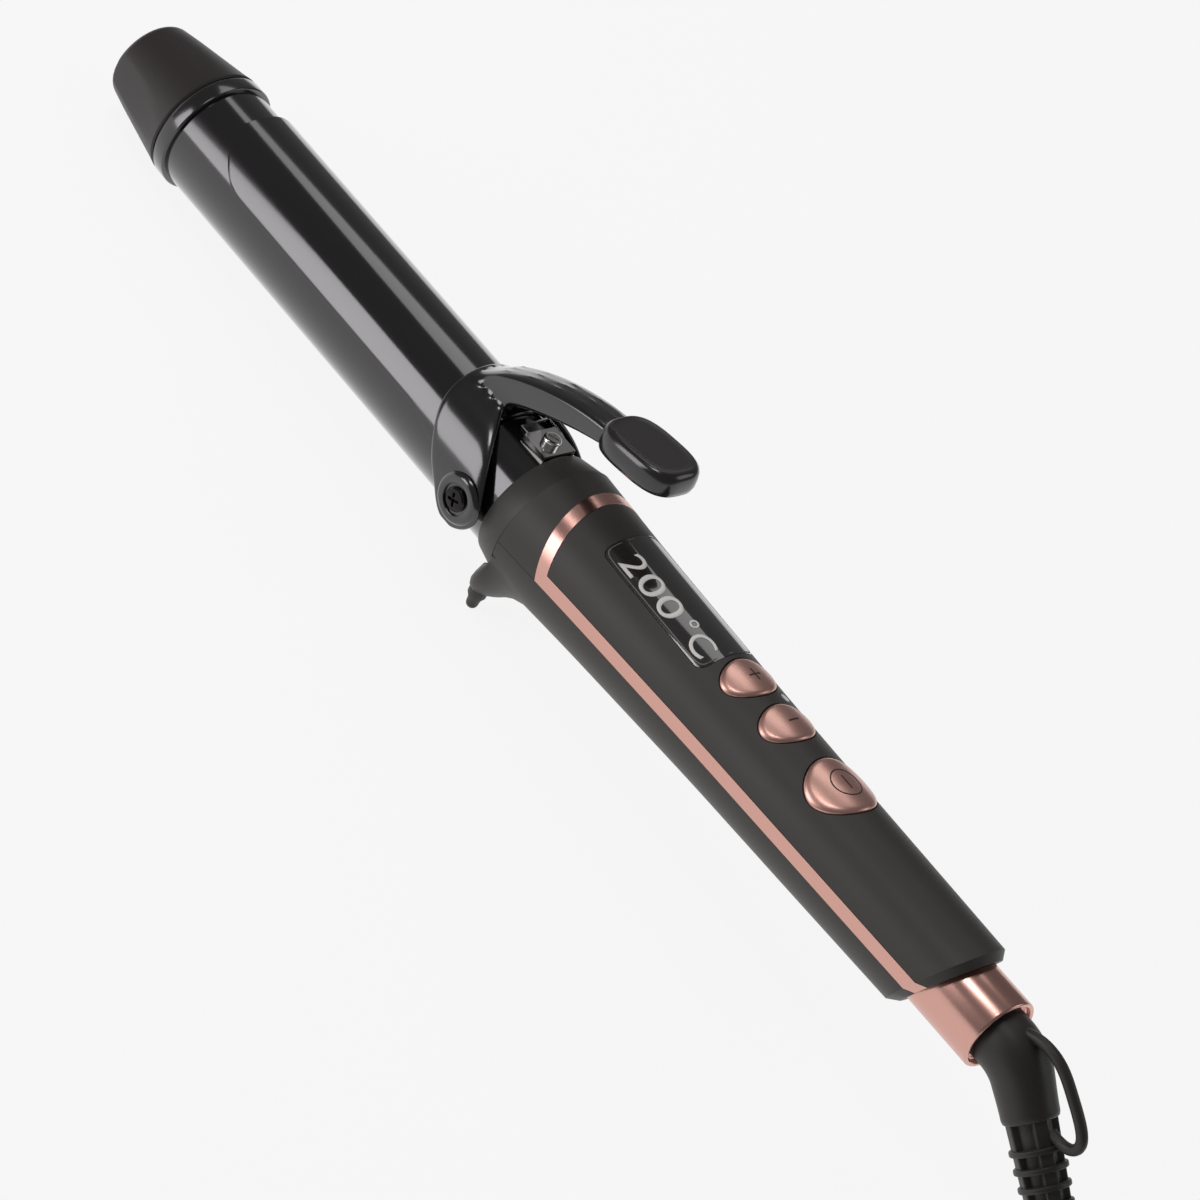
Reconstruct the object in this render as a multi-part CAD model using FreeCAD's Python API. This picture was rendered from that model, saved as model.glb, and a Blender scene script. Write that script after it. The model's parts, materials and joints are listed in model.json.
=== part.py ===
"""Curling iron with a spring clip, a digital display handle and a swivel cord.

Sizes are millimetres. Every piece is first made in the iron's own frame: +X runs from the
tip to the cord along the barrel's axis, +Z is the display side, and x = 0 is the front of
the handle. The finished pieces are then laid on the table, resting on the cool tip's ring
and on the two nubs under the handle, with z = 0 at the table.
"""
import FreeCAD
import Part
import math
import os

V = FreeCAD.Vector
AXIS_X = V(1, 0, 0)
AXIS_Y = V(0, 1, 0)
AXIS_Z = V(0, 0, 1)

# Clearances
GAP = 0.3                       # between curved faces of different pieces
SEAT = 0.15                     # between pieces that sit in one another
RUNNING = 0.08                  # radial, on a shaft that turns

# Barrel and cool tip
BARREL_R = 16.0
BARREL_WALL = 1.0
BARREL_LENGTH = 140.8           # from the ring to the handle's front
BARREL_TUCK = 7.6               # length hidden in the handle
RING_WIDTH = 4.5
RING_R = BARREL_R + 1.2
TIP_R = BARREL_R + 1.0
TIP_GROOVE_WIDTH = 0.8
TIP_GROOVE_DEPTH = 0.9
TIP_LENGTH = 27.4               # from the groove to the nose
TIP_NOSE_R = BARREL_R - 4.0
TIP_NOSE_ROUND = 2.8
TIP_SPIGOT = 9.0
TIP_FACET_DEPTH = 1.5           # the flat finger places on both sides of the tip

# Heater
HEATER_LENGTH = 92.0
HEATER_FROM_TIP = 12.0
HEATER_PLATE = (12.0, 3.0)      # width and thickness of the ceramic plate
SENSOR_R = 1.4
SENSOR_LENGTH = 14.0

# Clip and lever
CLIP_WALL = 1.0
CLIP_LENGTH = 113.5             # from its front edge to its end under the yoke
CLIP_SETBACK = 11.3             # from the ring to the clip's front edge
CLIP_SIDE_Z = 5.35              # height of the clip's long edges above the axis
CLIP_REAR_Z = 2.3               # and where they widen into the ears
CLIP_CORNER_LENGTH = 17.0
CLIP_CORNER_WIDTH = 9.5
HINGE_X = -8.0
HINGE_Z = -1.0
EAR_R = 8.0
YOKE_WALL = 2.0
YOKE_FRONT = 24.0               # how far the yoke's top reaches ahead of the hinge
EAR_BOSS = 0.7                  # the ear's thickening round its screw
SCREW_RECESS_R = 4.3
SCREW_RECESS_DEPTH = 1.3
HINGE_SHANK_R = 1.9
HINGE_HEAD_R = 3.3
HINGE_HEAD_HEIGHT = 1.9
WASHER_R = 3.8
ARM_HALF_WIDTH = 6.0
PAD_LENGTH = 26.5
PAD_WIDTH = 18.5
PAD_THICKNESS = 7.6
PAD_TILT = 8.0                  # degrees, rear edge up
RIVET_R = 1.5
RIVET_SPREAD = 30.0             # degrees each side of the top

# Spring bracket behind the yoke
BRACKET_LENGTH = 9.4
BRACKET_WIDTH = 11.0
BRACKET_WALL = 0.8
BRACKET_HEIGHT = 1.6
BRACKET_SCREW_R = 2.5
SPRING_WALL = 0.4
SPRING_WIDTH = 5.0

# Handle
HANDLE_RISE = 0.7               # degrees that the handle's axis climbs behind the barrel's
HANDLE_WALL = 2.2
COLLAR_LENGTH = 8.1
COLLAR_FRONT_R = BARREL_R + 0.95
HANDLE_FRONT_R = BARREL_R + 2.7
HANDLE_WAIST = (34.0, BARREL_R + 1.4)     # place and radius where the front flare ends
HANDLE_MIDDLE = (84.0, 15.8)
HANDLE_END_X = 168.5            # where the slanted end crosses the axis
HANDLE_END_R = 14.5
END_SLANT = 0.5                 # how much longer the handle is per mm of height
PARTING_Z = -0.7
SHELL_SEAM = 0.1
FOOT_HALF_WIDTH = 11.5
FOOT_R = BARREL_R + 11.2
NUB_X = 4.0
NUB_Y = 9.6
NUB_R = 1.65
NUB_DEPTH = BARREL_R + 13.4                # from the axis to the nub's end

# Rose trim
TRIM_WIDTH = 3.7
TRIM_DEPTH = 1.3
TRIM_FRONT = 22.4               # the hoop's front edge at the handle's side
TRIM_LEAN = 0.37                # how far the hoop leans forward per mm of height

# Display, lens and buttons, from front to rear
WINDOW_START = 30.5
WINDOW_LENGTH = 41.2
WINDOW_HALF_WIDTH = 9.8
WINDOW_CORNER = 2.5
WINDOW_WALL = 1.6
LENS_X = 87.0
LENS_Y = 6.2
LENS_R = 1.3
PLUS_X = 79.3
MINUS_X = 95.0
POWER_X = 116.5
SMALL_BUTTON = (6.1, 8.5)       # half length and half width
LARGE_BUTTON = (9.0, 10.0)
BUTTON_PROUD = 0.7
BUTTON_TRAVEL = 0.8
BUTTON_GAP = 0.25
BUTTON_LIP = 0.9

# Boards and parts inside the handle
BOARD_Z = 5.0
BOARD_WALL = 1.6
BOARD_START = 27.0
BOARD_LENGTH = 104.0
BOARD_HALF_WIDTH = 10.2
LCD_SIZE = (38.0, 16.0, 5.0)
SWITCH_SIZE = (6.0, 6.0, 4.3)
POWER_BOARD_Z = -6.0
POWER_BOARD_START = 60.0
POWER_BOARD_LENGTH = 56.0
SHELL_SCREW_X = (50.0, 133.0)
SHELL_SCREW_R = 1.25
SHELL_SCREW_HEAD_R = 2.6
BOSS_R = 3.4

# Swivel and strain relief
SWIVEL_R = 10.6
SWIVEL_FRONT = HANDLE_END_X - 16.5
SWIVEL_END = HANDLE_END_X + 18.5
SWIVEL_SOCKET_R = 9.3
SWIVEL_SOCKET_DEPTH = 1.6
SWIVEL_BORE_R = 7.4
CORE_R = SWIVEL_BORE_R - RUNNING
CORE_FLANGE_R = 9.2
CORE_FLANGE = 2.4
CONTACT_R = 5.2
BOOT_NECK_R = 8.1
ELBOW_X = SWIVEL_END + 7.0
ELBOW_BEND_R = 13.0
BOOT_DROP = 40.0                # degrees that the boot's tail points below the axis
TAIL_LENGTH = 41.0
TAIL_SMOOTH = 15.0              # the tail's plain part before the first rib
RIB_PITCH = 4.5
RIB_WIDTH = 1.5
TAIL_R = (6.0, 4.9)
RIB_STEP = 1.2
LOOP_R = 1.5
LOOP_REACH = 7.0                # how far the loop stands off the ribs

# Cord and plug
CORD_R = 3.1
COIL_TURNS_ACROSS = 2
COIL_TURNS_UP = 3
COIL_MID_R = 20.9               # at the folds of the hank
COIL_RUN = 93.0                 # straight runs of the hank
COIL_AHEAD = 122.0              # from the boot's end to the hank's middle
PLUG_LENGTH = 36.0
PLUG_WIDTH = 26.0
PLUG_HEIGHT = 14.0
PLUG_AHEAD = 99.4               # from the hank's middle to the plug's back
PLUG_SIDE = -14.0
PLUG_RELIEF = 12.0
PIN_R = 2.0
PIN_TANG_R = 1.5
PIN_LENGTH = 19.0
PIN_SPACING = 18.6


# Positions that follow from the sizes above
RING_X = -BARREL_LENGTH
GROOVE_X = RING_X - RING_WIDTH
TIP_X = GROOVE_X - TIP_GROOVE_WIDTH
NOSE_X = TIP_X - TIP_LENGTH
BORE_R = BARREL_R - BARREL_WALL
CLIP_R = BARREL_R + GAP
CLIP_OUT = CLIP_R + CLIP_WALL
CLIP_X = RING_X + CLIP_SETBACK
CLIP_END = CLIP_X + CLIP_LENGTH
YOKE_R = CLIP_OUT + GAP
YOKE_OUT = YOKE_R + YOKE_WALL
BRACKET_TOP = BARREL_R + BRACKET_HEIGHT
BARREL_END = BARREL_TUCK


# ---------------------------------------------------------------- basic shapes
def cyl_x(x0, x1, r, y=0.0, z=0.0):
    """Round bar along X."""
    return Part.makeCylinder(r, x1 - x0, V(x0, y, z), AXIS_X)


def tube_x(x0, x1, outer, inner):
    """Round tube along X, round the barrel's axis."""
    return cyl_x(x0, x1, outer).cut(cyl_x(x0 - 1, x1 + 1, inner))


def cyl_y(x, z, y0, y1, r):
    """Round bar along Y."""
    return Part.makeCylinder(r, y1 - y0, V(x, y0, z), AXIS_Y)


def cyl_z(x, y, z0, z1, r):
    """Round bar along Z."""
    return Part.makeCylinder(r, z1 - z0, V(x, y, z0), AXIS_Z)


def box(x0, x1, y0, y1, z0, z1):
    """Box between two corners."""
    return Part.makeBox(x1 - x0, y1 - y0, z1 - z0, V(x0, y0, z0))


def half_box(x0, x1, half_width, z0, z1):
    """Box that is even about the middle plane."""
    return box(x0, x1, -half_width, half_width, z0, z1)


def face(edges):
    """Flat face inside a closed run of edges."""
    return Part.Face(Part.Wire(edges))


def line(a, b):
    """Straight edge."""
    return Part.LineSegment(a, b).toShape()


def arc(a, b, c):
    """Round edge through three points."""
    return Part.Arc(a, b, c).toShape()


def polygon_face(points):
    """Flat face inside straight edges."""
    return Part.Face(Part.makePolygon(points + [points[0]]))


def spin_x(edges):
    """Solid turned round the X axis from a closed outline in the XZ plane."""
    return face(edges).revolve(V(0, 0, 0), AXIS_X, 360)


def side_plate(points, half_width):
    """Side outline in X and Z, given thickness across Y."""
    outline = polygon_face([V(x, -half_width, z) for x, z in points])
    return outline.extrude(V(0, 2 * half_width, 0))


def oval_z(x, half_length, half_width, z0, z1, grow=0.0, y=0.0):
    """Upright oval bar over the point x, y."""
    a = half_length + grow
    b = half_width + grow
    if b > a:
        curve = Part.Ellipse(V(x, y + b, z0), V(x + a, y, z0), V(x, y, z0))
    else:
        curve = Part.Ellipse(V(x + a, y, z0), V(x, y + b, z0), V(x, y, z0))
    return Part.Face(Part.Wire(curve.toShape())).extrude(V(0, 0, z1 - z0))


def mirrored(shape):
    """The same piece on the other side of the middle plane."""
    return shape.mirror(V(0, 0, 0), AXIS_Y)


# ---------------------------------------------------------------- cool tip and barrel
def barrel_tube():
    """Coated tube, pierced on both sides for the hinge screws."""
    tube = tube_x(RING_X, BARREL_END, BARREL_R, BORE_R)
    hole = cyl_y(HINGE_X, HINGE_Z, -BARREL_R - 1, BARREL_R + 1, HINGE_SHANK_R + SEAT)
    screw = cyl_z(bracket_screw_x(), 0, BORE_R - 1, BARREL_R + 1, BRACKET_SCREW_R / 2 + SEAT)
    return tube.cut(hole).cut(screw)


def tip_ring():
    """Ring between the barrel and the cool tip."""
    return tube_x(GROOVE_X, RING_X, RING_R, BORE_R - GAP - SEAT)


def tip_facet(side):
    """Cutter for one flat finger place on the cool tip."""
    slope = math.degrees(math.atan((TIP_R - TIP_NOSE_R) / TIP_LENGTH))
    block = box(-TIP_LENGTH * 0.68, 0, -10, 10, 0, 10)
    block.rotate(V(0, 0, 0), AXIS_Y, -slope - 2.5)
    block.translate(V(TIP_X - 2.5, 0, TIP_R - TIP_FACET_DEPTH + 0.4))
    block.rotate(V(0, 0, 0), AXIS_X, 47 if side > 0 else 227)
    return block


def tip_cap():
    """Cool tip that the other hand holds, with its spigot in the barrel."""
    neck_r = RING_R - TIP_GROOVE_DEPTH
    spigot_r = BORE_R - GAP - 2 * SEAT
    outline = [
        line(V(NOSE_X, 0, 0), V(NOSE_X, 0, TIP_NOSE_R)),
        line(V(NOSE_X, 0, TIP_NOSE_R), V(TIP_X, 0, TIP_R)),
        line(V(TIP_X, 0, TIP_R), V(TIP_X, 0, neck_r)),
        line(V(TIP_X, 0, neck_r), V(GROOVE_X, 0, neck_r)),
        line(V(GROOVE_X, 0, neck_r), V(GROOVE_X, 0, spigot_r)),
        line(V(GROOVE_X, 0, spigot_r), V(RING_X + TIP_SPIGOT, 0, spigot_r)),
        line(V(RING_X + TIP_SPIGOT, 0, spigot_r), V(RING_X + TIP_SPIGOT, 0, 0)),
        line(V(RING_X + TIP_SPIGOT, 0, 0), V(NOSE_X, 0, 0)),
    ]
    cap = spin_x(outline)
    rim = [e for e in cap.Edges if abs(e.BoundBox.XMax - NOSE_X) < 0.01 and e.BoundBox.YLength > 5]
    cap = cap.makeFillet(TIP_NOSE_ROUND, rim)
    return cap.cut(tip_facet(1)).cut(tip_facet(-1))


def tip_insulator():
    """Ceramic disc that keeps the heater's end off the cool tip."""
    start = RING_X + TIP_SPIGOT + 0.05
    return cyl_x(start, start + 2.4, BORE_R - GAP)


def heater_start():
    """Front end of the heater pack."""
    return RING_X + HEATER_FROM_TIP


def heat_spreader(side):
    """Half-round aluminium block that carries heat to the barrel."""
    start = heater_start()
    end = start + HEATER_LENGTH
    half = HEATER_PLATE[1] / 2 + 0.02
    block = cyl_x(start, end, BORE_R - SEAT)
    keep = half_box(start - 1, end + 1, BORE_R, half, BORE_R)
    if side < 0:
        keep = half_box(start - 1, end + 1, BORE_R, -BORE_R, -half)
    block = block.common(keep)
    return block.cut(cyl_x(start - 1, end + 1, 3.6, 0, side * 9.2)).cut(sensor_seat(side))


def sensor_seat(side):
    """Pocket in the upper block for the temperature sensor."""
    end = heater_start() + HEATER_LENGTH
    return cyl_x(end - SENSOR_LENGTH - 1, end + 1, SENSOR_R + SEAT, 9.0, side * 3.6)


def ceramic_heater():
    """Ceramic heating plate between the two blocks."""
    start = heater_start() + 3
    return half_box(start, start + HEATER_LENGTH - 6, HEATER_PLATE[0] / 2, -HEATER_PLATE[1] / 2,
                    HEATER_PLATE[1] / 2)


def temperature_sensor():
    """Glass-sleeved sensor in the upper block."""
    end = heater_start() + HEATER_LENGTH
    return cyl_x(end - SENSOR_LENGTH, end, SENSOR_R, 9.0, 3.6)


def holder_start():
    """Front end of the barrel holder."""
    return HINGE_X - 12


def barrel_holder():
    """Heat-proof carrier inside the barrel's rear end, held in the handle by its flange."""
    body = cyl_x(holder_start(), BARREL_END, BORE_R - SEAT)
    flange = cyl_x(BARREL_END + 0.1, BARREL_END + 2.6, BORE_R - 1.0)
    waist = cyl_x(BARREL_END, BARREL_END + 16, 9.6)
    holder = body.fuse(flange).fuse(waist)
    holder = holder.cut(cyl_x(holder_start() - 1, BARREL_END + 30, 5.0))
    hole = cyl_y(HINGE_X, HINGE_Z, -BARREL_R, BARREL_R, HINGE_SHANK_R + 0.02)
    holder = holder.cut(hole)
    screw = cyl_z(bracket_screw_x(), 0, 0, BARREL_R, BRACKET_SCREW_R / 2 + 0.02)
    return holder.cut(screw)


def thermal_fuse():
    """Cut-out fuse in the holder's wire way."""
    return cyl_x(holder_start() + 1, holder_start() + 13, 2.0, 0, -2.9)


# ---------------------------------------------------------------- clip and lever
def clip_plate():
    """Curved metal plate that presses the hair on the barrel."""
    plate = tube_x(CLIP_X, CLIP_END, CLIP_OUT, CLIP_R)
    widen = HINGE_X - 30
    sides = side_plate([(CLIP_X - 1, 30), (CLIP_X - 1, CLIP_SIDE_Z), (widen, CLIP_SIDE_Z),
                        (widen + 16, CLIP_REAR_Z), (CLIP_END + 1, CLIP_REAR_Z),
                        (CLIP_END + 1, 30)], 20)
    plate = plate.common(sides).common(clip_plan())
    for side in (-1, 1):
        plate = plate.cut(rivet_bar(side, RIVET_R + 0.02))
    return plate


def clip_plan():
    """The clip's outline from above, with its long rounded front corners."""
    width = math.sqrt(CLIP_OUT ** 2 - CLIP_SIDE_Z ** 2)
    flat = width - CLIP_CORNER_WIDTH
    back = CLIP_X + CLIP_CORNER_LENGTH
    wide = 20.0
    low = CLIP_CORNER_LENGTH * (1 - math.sqrt(0.5))
    side = CLIP_CORNER_WIDTH * (1 - math.sqrt(0.5))
    edges = [
        line(V(CLIP_X, flat, 0), V(CLIP_X, -flat, 0)),
        arc(V(CLIP_X, -flat, 0), V(CLIP_X + low, -width + side, 0), V(back, -width - 0.01, 0)),
        line(V(back, -width - 0.01, 0), V(back, -wide, 0)),
        line(V(back, -wide, 0), V(CLIP_END + 1, -wide, 0)),
        line(V(CLIP_END + 1, -wide, 0), V(CLIP_END + 1, wide, 0)),
        line(V(CLIP_END + 1, wide, 0), V(back, wide, 0)),
        line(V(back, wide, 0), V(back, width + 0.01, 0)),
        arc(V(back, width + 0.01, 0), V(CLIP_X + low, width - side, 0), V(CLIP_X, flat, 0)),
    ]
    return face(edges).extrude(V(0, 0, 30))


def rivet_bar(side, r):
    """Bar where a rivet passes through the clip and the yoke."""
    bar = cyl_z(CLIP_END - 5, 0, CLIP_R - 1, YOKE_OUT + 1, r)
    bar.rotate(V(0, 0, 0), AXIS_X, side * RIVET_SPREAD)
    return bar


def clip_rivet(side):
    """Rivet that holds the clip in the yoke; its head is flush outside."""
    bar = rivet_bar(side, RIVET_R)
    return bar.common(tube_x(CLIP_X, 0, YOKE_OUT - 0.6, CLIP_R + 0.02))


def yoke_side():
    """The yoke's side outline, from the top of the clip down to the round ears."""
    top = YOKE_OUT + 4
    x = HINGE_X
    z = HINGE_Z
    front_low = V(x - EAR_R * math.cos(math.radians(35)), -30, z - EAR_R * math.sin(math.radians(35)))
    bottom = V(x, -30, z - EAR_R)
    rear = V(x + EAR_R, -30, z)
    edges = [
        line(V(x - YOKE_FRONT, -30, top), V(x - 22.4, -30, z + 13.7)),
        line(V(x - 22.4, -30, z + 13.7), V(x - 17.5, -30, z + 6.0)),
        line(V(x - 17.5, -30, z + 6.0), front_low),
        arc(front_low, bottom, rear),
        arc(rear, V(x + 4.4, -30, z + 8.6), V(x - 2.0, -30, z + 15.5)),
        line(V(x - 2.0, -30, z + 15.5), V(x - 4.0, -30, top)),
        line(V(x - 4.0, -30, top), V(x - YOKE_FRONT, -30, top)),
    ]
    return face(edges).extrude(V(0, 60, 0))


def lever_arm():
    """Arm that rises from the yoke to the thumb pad."""
    low = YOKE_R - 0.8
    x = HINGE_X
    y = -ARM_HALF_WIDTH
    edges = [
        line(V(x - 22.5, y, low), V(x - 22.5, y, YOKE_OUT)),
        arc(V(x - 22.5, y, YOKE_OUT), V(x - 4.8, y, YOKE_OUT + 11.4), V(x + 21, y, YOKE_OUT + 19)),
        line(V(x + 21, y, YOKE_OUT + 19), V(x + 21, y, YOKE_OUT + 14)),
        arc(V(x + 21, y, YOKE_OUT + 14), V(x + 5, y, YOKE_OUT + 7.8), V(x - 11.5, y, YOKE_R + 0.6)),
        line(V(x - 11.5, y, YOKE_R + 0.6), V(x - 11.5, y, low)),
        line(V(x - 11.5, y, low), V(x - 22.5, y, low)),
    ]
    arm = face(edges).extrude(V(0, 2 * ARM_HALF_WIDTH, 0))
    return arm.cut(cyl_x(x - 40, x + 30, YOKE_R))


def clip_lever():
    """Yoke, both ears and the arm, moulded in one."""
    upper = tube_x(HINGE_X - 40, 5, YOKE_OUT, YOKE_R)
    upper = upper.common(half_box(HINGE_X - 40, 5, 30, 0, 30))
    cheek = box(HINGE_X - 40, 5, YOKE_R, YOKE_OUT, -12, 0)
    shell = upper.fuse(cheek).fuse(mirrored(cheek)).common(yoke_side())
    shell = shell.cut(half_box(HINGE_X - 11.5, 5, 7.6, YOKE_R - 4, 30))
    boss = cyl_y(HINGE_X, HINGE_Z, YOKE_R, YOKE_OUT + EAR_BOSS, EAR_R - 1.2)
    lever = shell.fuse(boss).fuse(mirrored(boss)).fuse(lever_arm())
    recess_y = YOKE_OUT + EAR_BOSS - SCREW_RECESS_DEPTH
    recess = cyl_y(HINGE_X, HINGE_Z, recess_y, YOKE_OUT + 3, SCREW_RECESS_R)
    hole = cyl_y(HINGE_X, HINGE_Z, -30, 30, HINGE_SHANK_R + RUNNING)
    washer = cyl_y(HINGE_X, HINGE_Z, -YOKE_R, YOKE_R, WASHER_R + SEAT)
    lever = lever.cut(recess).cut(mirrored(recess)).cut(hole).cut(washer)
    for side in (-1, 1):
        lever = lever.cut(rivet_bar(side, RIVET_R + 0.02).common(cyl_x(CLIP_X, 0, YOKE_OUT - 0.6)))
    return lever.cut(pad_room()).removeSplitter()


def pad_room():
    """The pad's place with its clearance; the arm ends at the pad's front face."""
    start = HINGE_X + 17.5 - SEAT
    return half_box(start, HINGE_X + 60, 30, YOKE_OUT + 5, YOKE_OUT + 40)


def thumb_rest():
    """Rounded thumb pad at the arm's end."""
    block = half_box(0, PAD_LENGTH, PAD_WIDTH / 2, -PAD_THICKNESS / 2, PAD_THICKNESS / 2)
    upright = [e for e in block.Edges if abs(e.Vertexes[0].Z - e.Vertexes[1].Z) > 1]
    block = block.makeFillet(PAD_WIDTH * 0.36, upright)
    rims = [e for e in block.Edges if e.BoundBox.ZLength < 0.01]
    block = block.makeFillet(PAD_THICKNESS * 0.3, rims)
    block.rotate(V(0, 0, 0), AXIS_Y, -PAD_TILT)
    block.translate(V(HINGE_X + 17.6, 0, YOKE_OUT + 16.8))
    return block


def hinge_screw():
    """Shouldered screw through the ear into the holder."""
    seat_y = YOKE_OUT + EAR_BOSS - SCREW_RECESS_DEPTH + 0.05
    shank = cyl_y(HINGE_X, HINGE_Z, 7.5, seat_y + 0.5, HINGE_SHANK_R)
    head = cyl_y(HINGE_X, HINGE_Z, seat_y, seat_y + HINGE_HEAD_HEIGHT, HINGE_HEAD_R)
    rim = [e for e in head.Edges if e.BoundBox.YMin > seat_y + HINGE_HEAD_HEIGHT - 0.01]
    head = head.makeFillet(0.7, rim)
    top = seat_y + HINGE_HEAD_HEIGHT
    for turn in (0, 90):
        slot = box(-1.9, 1.9, top - 0.9, top + 1, -0.4, 0.4)
        slot.rotate(V(0, 0, 0), AXIS_Y, turn + 20)
        slot.translate(V(HINGE_X, 0, HINGE_Z))
        head = head.cut(slot)
    return shank.fuse(head).removeSplitter()


def hinge_washer():
    """Washer between the barrel and the ear."""
    disc = cyl_y(HINGE_X, HINGE_Z, BARREL_R + 0.1, YOKE_R - 0.05, WASHER_R)
    return disc.cut(cyl_y(HINGE_X, HINGE_Z, 0, 30, HINGE_SHANK_R + 0.05))


# ---------------------------------------------------------------- spring bracket
def bracket_start():
    """Front end of the bracket."""
    return HINGE_X - 1.0


def bracket_screw_x():
    """Middle of the bracket's screw."""
    return bracket_start() + BRACKET_LENGTH * 0.5


def spring_bracket():
    """Bent metal bridge screwed on the barrel, with two side walls."""
    start = bracket_start()
    end = start + BRACKET_LENGTH - 0.6
    half = BRACKET_WIDTH / 2
    top = half_box(start, end, half, BRACKET_TOP - BRACKET_WALL, BRACKET_TOP)
    wall = box(start, end, half - BRACKET_WALL, half, BARREL_R - 2, BRACKET_TOP)
    bridge = top.fuse(wall).fuse(mirrored(wall))
    bridge = bridge.cut(cyl_x(start - 1, end + 1, BARREL_R + 0.05))
    hole = cyl_z(bracket_screw_x(), 0, BARREL_R, BRACKET_TOP + 1, BRACKET_SCREW_R / 2 + SEAT)
    return bridge.cut(hole).removeSplitter()


def bracket_screw():
    """Pan-head screw through the bracket into the holder."""
    x = bracket_screw_x()
    head = cyl_z(x, 0, BRACKET_TOP + 0.03, BRACKET_TOP + 1.9, BRACKET_SCREW_R)
    rim = [e for e in head.Edges if e.BoundBox.ZMin > BRACKET_TOP + 1.8]
    head = head.makeFillet(0.8, rim)
    shank = cyl_z(x, 0, BARREL_R - 6, BRACKET_TOP + 0.5, BRACKET_SCREW_R / 2)
    for turn in (0, 90):
        slot = box(-1.5, 1.5, -0.3, 0.3, BRACKET_TOP + 1.1, BRACKET_TOP + 3)
        slot.rotate(V(0, 0, 0), AXIS_Z, turn + 30)
        slot.translate(V(x, 0, 0))
        head = head.cut(slot)
    return head.fuse(shank).removeSplitter()


def return_spring():
    """Leaf spring from under the bracket to the arm, which holds the clip shut."""
    low = BARREL_R + 0.06
    root = bracket_start() + 3.0
    front = bracket_start() - 4.0
    leaf = [(root, low), (front, low), (front + 5.6, YOKE_OUT + 4.4), (front + 6.1, YOKE_OUT + 4.4),
            (front + 0.7, low + SPRING_WALL), (root, low + SPRING_WALL)]
    return side_plate(leaf, SPRING_WIDTH / 2)


# ---------------------------------------------------------------- handle
def handle_stations():
    """Places and radii along the handle; it is conical between them."""
    return [(COLLAR_LENGTH, HANDLE_FRONT_R), HANDLE_WAIST, HANDLE_MIDDLE, (HANDLE_END_X, HANDLE_END_R)]


def handle_r(x):
    """Outside radius of the handle at a place along it."""
    stations = handle_stations()
    pair = 0
    while pair < len(stations) - 2 and x > stations[pair + 1][0]:
        pair += 1
    (x0, r0), (x1, r1) = stations[pair], stations[pair + 1]
    return r0 + (r1 - r0) * (x - x0) / (x1 - x0)


def handle_body(inset=0.0, start=COLLAR_LENGTH - 1, end=HANDLE_END_X + 12):
    """Slim handle turned round its axis, made smaller all round by the inset."""
    places = [start] + [x for x, r in handle_stations()[1:3] if start < x < end] + [end]
    points = [V(x, 0, handle_r(x) - inset) for x in places]
    corners = [V(start, 0, 0)] + points + [V(end, 0, 0)]
    return polygon_face(corners).revolve(V(0, 0, 0), AXIS_X, 360)


def collar_room():
    """Everything ahead of the shells' front edge, which follows the barrel's axis."""
    room = half_box(-60, COLLAR_LENGTH, 60, -60, 60)
    room.rotate(V(0, 0, 0), AXIS_Y, HANDLE_RISE)
    return room


def end_cutter(shift=0.0):
    """Everything behind the handle's slanted end."""
    x = HANDLE_END_X + shift
    return side_plate([(x - 30 * END_SLANT, -30), (x + 30 * END_SLANT, 30), (x + 90, 30), (x + 90, -30)], 40)


def handle_outer():
    """The handle's outer form with its slanted, bevelled end."""
    body = handle_body().cut(end_cutter()).cut(collar_room())
    rim = [e for e in body.Edges
           if e.BoundBox.XMax > HANDLE_END_X + 4 and e.BoundBox.ZMin < -5 and e.BoundBox.YLength > 20]
    return body.makeChamfer(1.2, rim)


def handle_hollow():
    """The handle's inside."""
    return handle_body(HANDLE_WALL, COLLAR_LENGTH - 2, HANDLE_END_X + 14).cut(end_cutter(-3.0))


def above(z):
    """Everything above a height."""
    return half_box(-20, 260, 60, z, 60)


def below(z):
    """Everything under a height."""
    return half_box(-20, 260, 60, -60, z)


def neck_collar():
    """Conical ring between the barrel and the shells."""
    bore = BARREL_R + GAP
    inner = BORE_R - 1.0 + SEAT
    spigot = HANDLE_FRONT_R - HANDLE_WALL - 2 * GAP
    outline = [
        line(V(0, 0, bore), V(0, 0, COLLAR_FRONT_R)),
        line(V(0, 0, COLLAR_FRONT_R), V(COLLAR_LENGTH - SHELL_SEAM, 0, HANDLE_FRONT_R)),
        line(V(COLLAR_LENGTH - SHELL_SEAM, 0, HANDLE_FRONT_R), V(COLLAR_LENGTH - SHELL_SEAM, 0, spigot)),
        line(V(COLLAR_LENGTH - SHELL_SEAM, 0, spigot), V(COLLAR_LENGTH + 5, 0, spigot)),
        line(V(COLLAR_LENGTH + 5, 0, spigot), V(COLLAR_LENGTH + 5, 0, inner)),
        line(V(COLLAR_LENGTH + 5, 0, inner), V(BARREL_END + 0.1, 0, inner)),
        line(V(BARREL_END + 0.1, 0, inner), V(BARREL_END + 0.1, 0, bore)),
        line(V(BARREL_END + 0.1, 0, bore), V(0, 0, bore)),
    ]
    return spin_x(outline)


def trim_band(lean_start, lean_end):
    """Space between two leaning planes, above the parting line."""
    low = PARTING_Z
    high = 30.0
    points = [(lean_start - TRIM_LEAN * low, low), (lean_start - TRIM_LEAN * high, high),
              (lean_end - TRIM_LEAN * high, high), (lean_end - TRIM_LEAN * low, low)]
    return side_plate(points, 30)


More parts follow.
